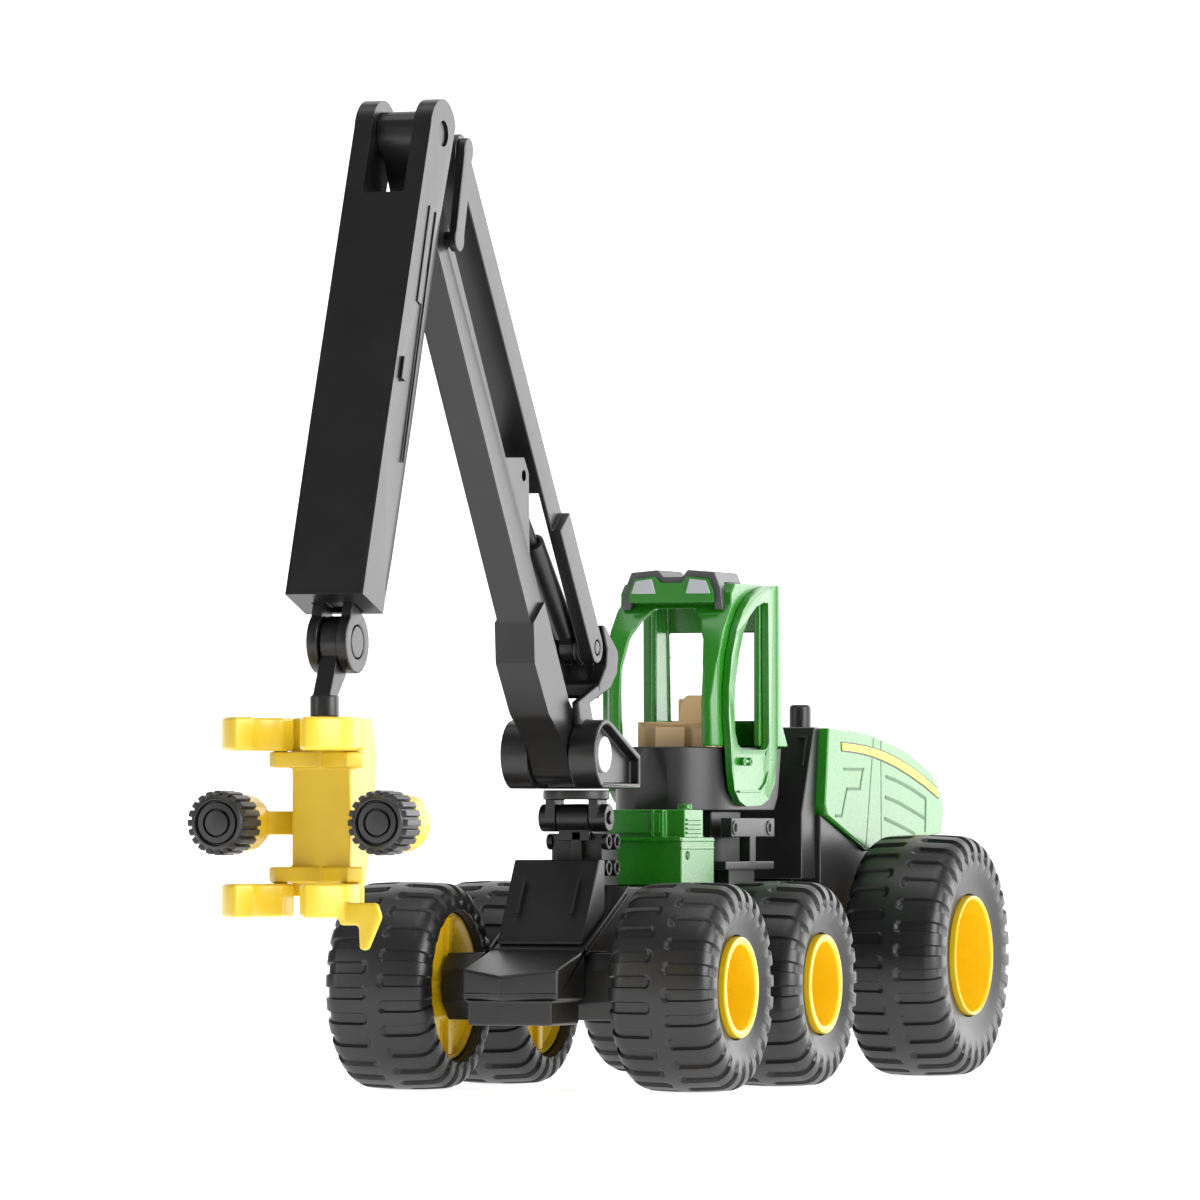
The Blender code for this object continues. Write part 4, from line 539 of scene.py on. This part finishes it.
bmesh.ops.recalc_face_normals(bm, faces=bm.faces)
finished("lamp_lenses", bm, lens, "chassis")

# ---- Seat and console ----------------------------------------------------------------------
# One beige moulding behind the windscreen, with stepped frames on the console's front; a
# rounded seat back and a flat panel are set on it.
beige = moulded("beige_plastic", (0.78, 0.53, 0.28), 0.45, grain=0.05, mottle=0.05)
CONSOLE_STEPS = [((1, 0, 0), 120, 1.8, 0.7), ((1, 0, 0), 100, 2.0, 0.7)]
SEAT_BACK = [(-9, 150), (9, 150), (8.2, 158), (5.5, 161.5), (-5.5, 161.5), (-8.2, 158)]
CONSOLE_PANEL = [(-6.5, 120), (6.5, 120), (6.5, 148), (-6.5, 148)]
eased("cab_interior", beige, 0.5, panels=CONSOLE_STEPS)
bm = bmesh.new()
slab(bm, SEAT_BACK, -127.9, -123.0, "X", 1.2)
slab(bm, CONSOLE_PANEL, -90.4, -89.4, "X", 0.3)
bmesh.ops.recalc_face_normals(bm, faces=bm.faces)
finished("seat_back_and_panel", bm, beige, "chassis")

# ---- Front box -------------------------------------------------------------------------------
# Green two-storey box behind the crane: a raised panel between two upright ribs and a lid
# ledge in front, and on each shoulder four slats over a vent, two ledges and a small round
# hole; a dark green sheet behind the slats and a dark green ring at the hole are painted shade.
vent_shade_green = moulded("painted_vent_shade", (0.005, 0.060, 0.003), 0.4, grain=0.03, mottle=0.04)
LID_Z = 101.2
SHOULDER_X = -44.5
SHOULDER_Y = 28.6
eased("front_box", green, 0.6)
bm = bmesh.new()
bar_block(bm, (1.0, 36.5, 8.2), placed((-28.8, 0, 107.8)), 0.3)
for y in (15.2, -15.2):
    bar_block(bm, (1.6, 1.2, 11), placed((-28.5, y, 107.8)), 0.3)
bar_block(bm, (1.6, 57.6, 1.6), placed((-24.9, 0, LID_Z)), 0.4)
for side in (1, -1):
    for z in (103.8, 105.6, 107.4, 109.2):
        bar_block(bm, (16.5, 1.2, 1.0), placed((-44.0, side * 27.1, z)), 0.35)
    bar_block(bm, (38.6, 1.2, 1.3), placed((SHOULDER_X, side * SHOULDER_Y, LID_Z - 0.4)), 0.3)
    bar_block(bm, (38.6, 1.0, 1.0), placed((SHOULDER_X, side * SHOULDER_Y, LID_Z - 3.7)), 0.3)
bmesh.ops.recalc_face_normals(bm, faces=bm.faces)
finished("box_ribs", bm, green, "chassis")
# Painted shade: a dark green sheet stands for the shade behind each shoulder's slats, and a dark green ring for
# the shade in its round hole.
bm = bmesh.new()
for side in (1, -1):
    tube(bm, (-33.5, side * 28.2, 94.6), 1.9, 1.1, 0.7, side)
    bar_block(bm, (14, 0.5, 6.2), placed((-44.0, side * 26.6, 106.6)), 0.15)
bmesh.ops.recalc_face_normals(bm, faces=bm.faces)
finished("box_vent_shade", bm, vent_shade_green, "chassis")

# ---- Engine hood -------------------------------------------------------------------------------
# Green hood with slanted front corners. Each side has two upright seams, three curved slats
# with an upright one behind them, a crooked groove, and a plain yellow stripe edged black; the seams, slats and
# groove are drawn in a darker green as painted shade.
# Painted shade: a darker green for the shade in the seams, slats and groove.
painted_groove_shade = moulded("painted_groove_shade", (0.010, 0.105, 0.006), 0.4, grain=0.03)
stripe_yellow = moulded("stripe_yellow", (0.95, 0.82, 0.0), 0.35, grain=0.02, mottle=0.03)
edging = moulded("stripe_black", (0.01, 0.01, 0.01), 0.4, grain=0.02)
HOOD_FRONT_X = -188.3        # the front corners lie ahead of this
HOOD_SIDE_Y = 34.8
HOOD_CORNER = 4
SEAMS = ([(-246.9, 144.4), (-236.8, 97.4)], [(-256.4, 143.4), (-257.0, 101.3)])
SLATS = ([(-263.2, 128.1), (-280, 125.9), (-297.9, 122.8), (-315.8, 118.8)],
         [(-262.3, 119.2), (-280, 116.9), (-297.8, 113.5), (-315.8, 110)],
         [(-261.4, 110), (-276.4, 107.7), (-290.7, 105.3), (-301.4, 103.3)],
         [(-316.2, 119.4), (-315.4, 104)])
CROOK = ([(-208.3, 131), (-234, 131)], [(-233.4, 131.5), (-229, 122.3)],
         [(-229.6, 122.6), (-212.2, 122.6)], [(-212.6, 123), (-205.6, 110.8)],
         [(-206.1, 111), (-197.6, 111)])
STRIPE_TOP = [(-204.5, 142.6), (-219, 142.2), (-234.3, 141.5), (-248.3, 140.4), (-262.3, 138.8),
              (-276.5, 136.6), (-294.3, 133.2), (-312.3, 128.9), (-331, 123.6)]
STRIPE_LOW = [(-205.2, 138.4), (-219, 137.9), (-233, 137.2), (-246.5, 136), (-260, 134.3),
              (-276.5, 131.7), (-294.3, 128.2), (-313, 124), (-333, 118.6)]
EDGE_ABOVE, EDGE_BELOW = 0.6, 0.7     # width of the black edging


def slanted_corners(bm):
    """Cut the two upright corners of the hood's front edge on the slant."""
    corners = [edge for edge in bm.edges
               if all(abs(v.co.y) > HOOD_SIDE_Y * MM and v.co.x > HOOD_FRONT_X * MM
                      for v in edge.verts)]
    bmesh.ops.bevel(bm, geom=corners, offset=HOOD_CORNER * MM, offset_type="OFFSET",
                    affect="EDGES", segments=1, profile=0.5, material=-1, clamp_overlap=True)


def stripe_line(line, rise, end_in):
    """One long edge of the yellow stripe, inside its black edging."""
    (front_x, front_z), *middle, (back_x, back_z) = line
    return ([(front_x - 0.7, front_z + rise)] + [(x, z + rise) for x, z in middle]
            + [(back_x + end_in, back_z + rise + 0.1)])


eased("hood", green, 0.9, also=slanted_corners)
stripe_outline = (stripe_line(STRIPE_TOP, -EDGE_ABOVE, 0.9)
                  + stripe_line(STRIPE_LOW, EDGE_BELOW, 1.0)[::-1])
lines, under, over = bmesh.new(), bmesh.new(), bmesh.new()
for side in (1, -1):
    for path in SEAMS:
        side_slab(lines, ribbon(path, 0.5), side, HOOD_SIDE_Y, 35.12, radius=0)
    for path in SLATS:
        side_slab(lines, ribbon(path, 1.5), side, HOOD_SIDE_Y - 0.1, 35.2, radius=0.1)
    for path in CROOK:
        side_slab(lines, ribbon(path, 1.2), side, HOOD_SIDE_Y - 0.1, 35.2, radius=0.1)
    side_slab(under, STRIPE_TOP + STRIPE_LOW[::-1], side, HOOD_SIDE_Y - 0.1, 35.2, radius=0)
    side_slab(over, stripe_outline, side, HOOD_SIDE_Y, 35.35, radius=0)
for name, bm, mat in (("hood_lines", lines, painted_groove_shade), ("stripe_edging", under, edging),
                      ("stripe", over, stripe_yellow)):
    bmesh.ops.recalc_face_normals(bm, faces=bm.faces)
    finished(name, bm, mat, BODY_OF["hood"])

# ---- Engine and tail ---------------------------------------------------------------------------
# The engine inside and the tail piece are dark grey; the bulkhead in front of the hood has
# a thin crooked rib moulded on each half.
BULKHEAD_SLOPE = -66.4
for node in ("engine_block", "tail_panel"):
    eased(node, visor_grey, 0.5)
bm = bmesh.new()
for side in (1, -1):
    bar_block(bm, (13, 1.0, 1.2), placed((-176.4, side * 28.4, 138), BULKHEAD_SLOPE))
    bar_block(bm, (1.0, 4.4, 1.2), placed((-179.1, side * 26.6, 144.2), BULKHEAD_SLOPE))
finished("bulkhead_ribs", bm, black, BODY_OF["rear_bulkhead"])

# ---- Floor, light and camera ------------------------------------------------------------
# A pale paper sweep that curves up behind the toy, a large soft light at its left, another
# behind its left, a weaker one above and a small one at its right. A long lens looks at it
# from the front left, at the height of the crane's foot.
BEND_X, BEND_R, BEND_STEPS = -4.0, 2.0, 12
SWEEP_FRONT_X, SWEEP_HEIGHT, SWEEP_HALF = 7.0, 9.0, 9.0
profile = [(SWEEP_FRONT_X, 0.0), (BEND_X, 0.0)]
for i in range(1, BEND_STEPS + 1):
    a = math.pi / 2 * i / BEND_STEPS
    profile.append((BEND_X - BEND_R * math.sin(a), BEND_R - BEND_R * math.cos(a)))
profile.append((BEND_X - BEND_R, SWEEP_HEIGHT))
bm = bmesh.new()
verts = [bm.verts.new((x, -SWEEP_HALF, z)) for x, z in profile]
edges = [bm.edges.new(pair) for pair in zip(verts, verts[1:])]
swept = bmesh.ops.extrude_edge_only(bm, edges=edges)["geom"]
bmesh.ops.translate(bm, verts=[item for item in swept if isinstance(item, bmesh.types.BMVert)],
                    vec=(0, 2 * SWEEP_HALF, 0))
bmesh.ops.recalc_face_normals(bm, faces=bm.faces)
mesh = bpy.data.meshes.new("sweep")
bm.to_mesh(mesh)
bm.free()
mesh.shade_smooth()
sweep = bpy.data.objects.new("sweep", mesh)
bpy.context.collection.objects.link(sweep)
paper = bpy.data.materials.new("white_paper")
paper.use_nodes = True
paper_shader = paper.node_tree.nodes["Principled BSDF"]
paper_shader.inputs["Base Color"].default_value = (0.9, 0.9, 0.9, 1)
paper_shader.inputs["Roughness"].default_value = 0.9
paper_shader.inputs["Emission Color"].default_value = (1, 1, 1, 1)
paper_shader.inputs["Emission Strength"].default_value = 0.85
mesh.materials.append(paper)

world = bpy.data.worlds.new("studio")
bpy.context.scene.world = world
world.use_nodes = True
world.node_tree.nodes["Background"].inputs["Color"].default_value = (1, 1, 1, 1)
world.node_tree.nodes["Background"].inputs["Strength"].default_value = 0.22


def softbox(name, place, aim, size, power):
    """A rectangular soft light at a place, pointed at an aim, in metres and watts."""
    data = bpy.data.lights.new(name, "AREA")
    data.shape = "RECTANGLE"
    data.size, data.size_y = size
    data.energy = power
    lamp = bpy.data.objects.new(name, data)
    bpy.context.collection.objects.link(lamp)
    lamp.location = place
    lamp.rotation_euler = (Vector(aim) - Vector(place)).to_track_quat("-Z", "Y").to_euler()


softbox("left_light", (0.3, 2.3, 0.8), (0, 0, 0.14), (1.8, 1.4), 62)
softbox("rear_left_light", (-2.6, 1.3, 0.6), (-0.05, 0, 0.15), (2.2, 2.0), 26)
softbox("top_light", (0.2, 0.1, 2.2), (0, 0, 0.1), (1.6, 1.6), 16)
softbox("right_light", (1.8, -1.5, 0.7), (0.1, 0, 0.15), (0.7, 1.2), 8)

VIEW_AZIMUTH, VIEW_PITCH = math.radians(20.73), math.radians(1.33)
camera_data = bpy.data.cameras.new("camera")
camera_data.lens = 300
camera_data.sensor_width = 36
camera_data.clip_end = 40
camera = bpy.data.objects.new("camera", camera_data)
bpy.context.collection.objects.link(camera)
camera.location = (3.8114, 1.4453, 0.1041)
look = Vector((-math.cos(VIEW_AZIMUTH) * math.cos(VIEW_PITCH),
               -math.sin(VIEW_AZIMUTH) * math.cos(VIEW_PITCH), math.sin(VIEW_PITCH)))
camera.rotation_euler = look.to_track_quat("-Z", "Y").to_euler()
bpy.context.scene.camera = camera
bpy.context.scene.view_settings.view_transform = "Standard"
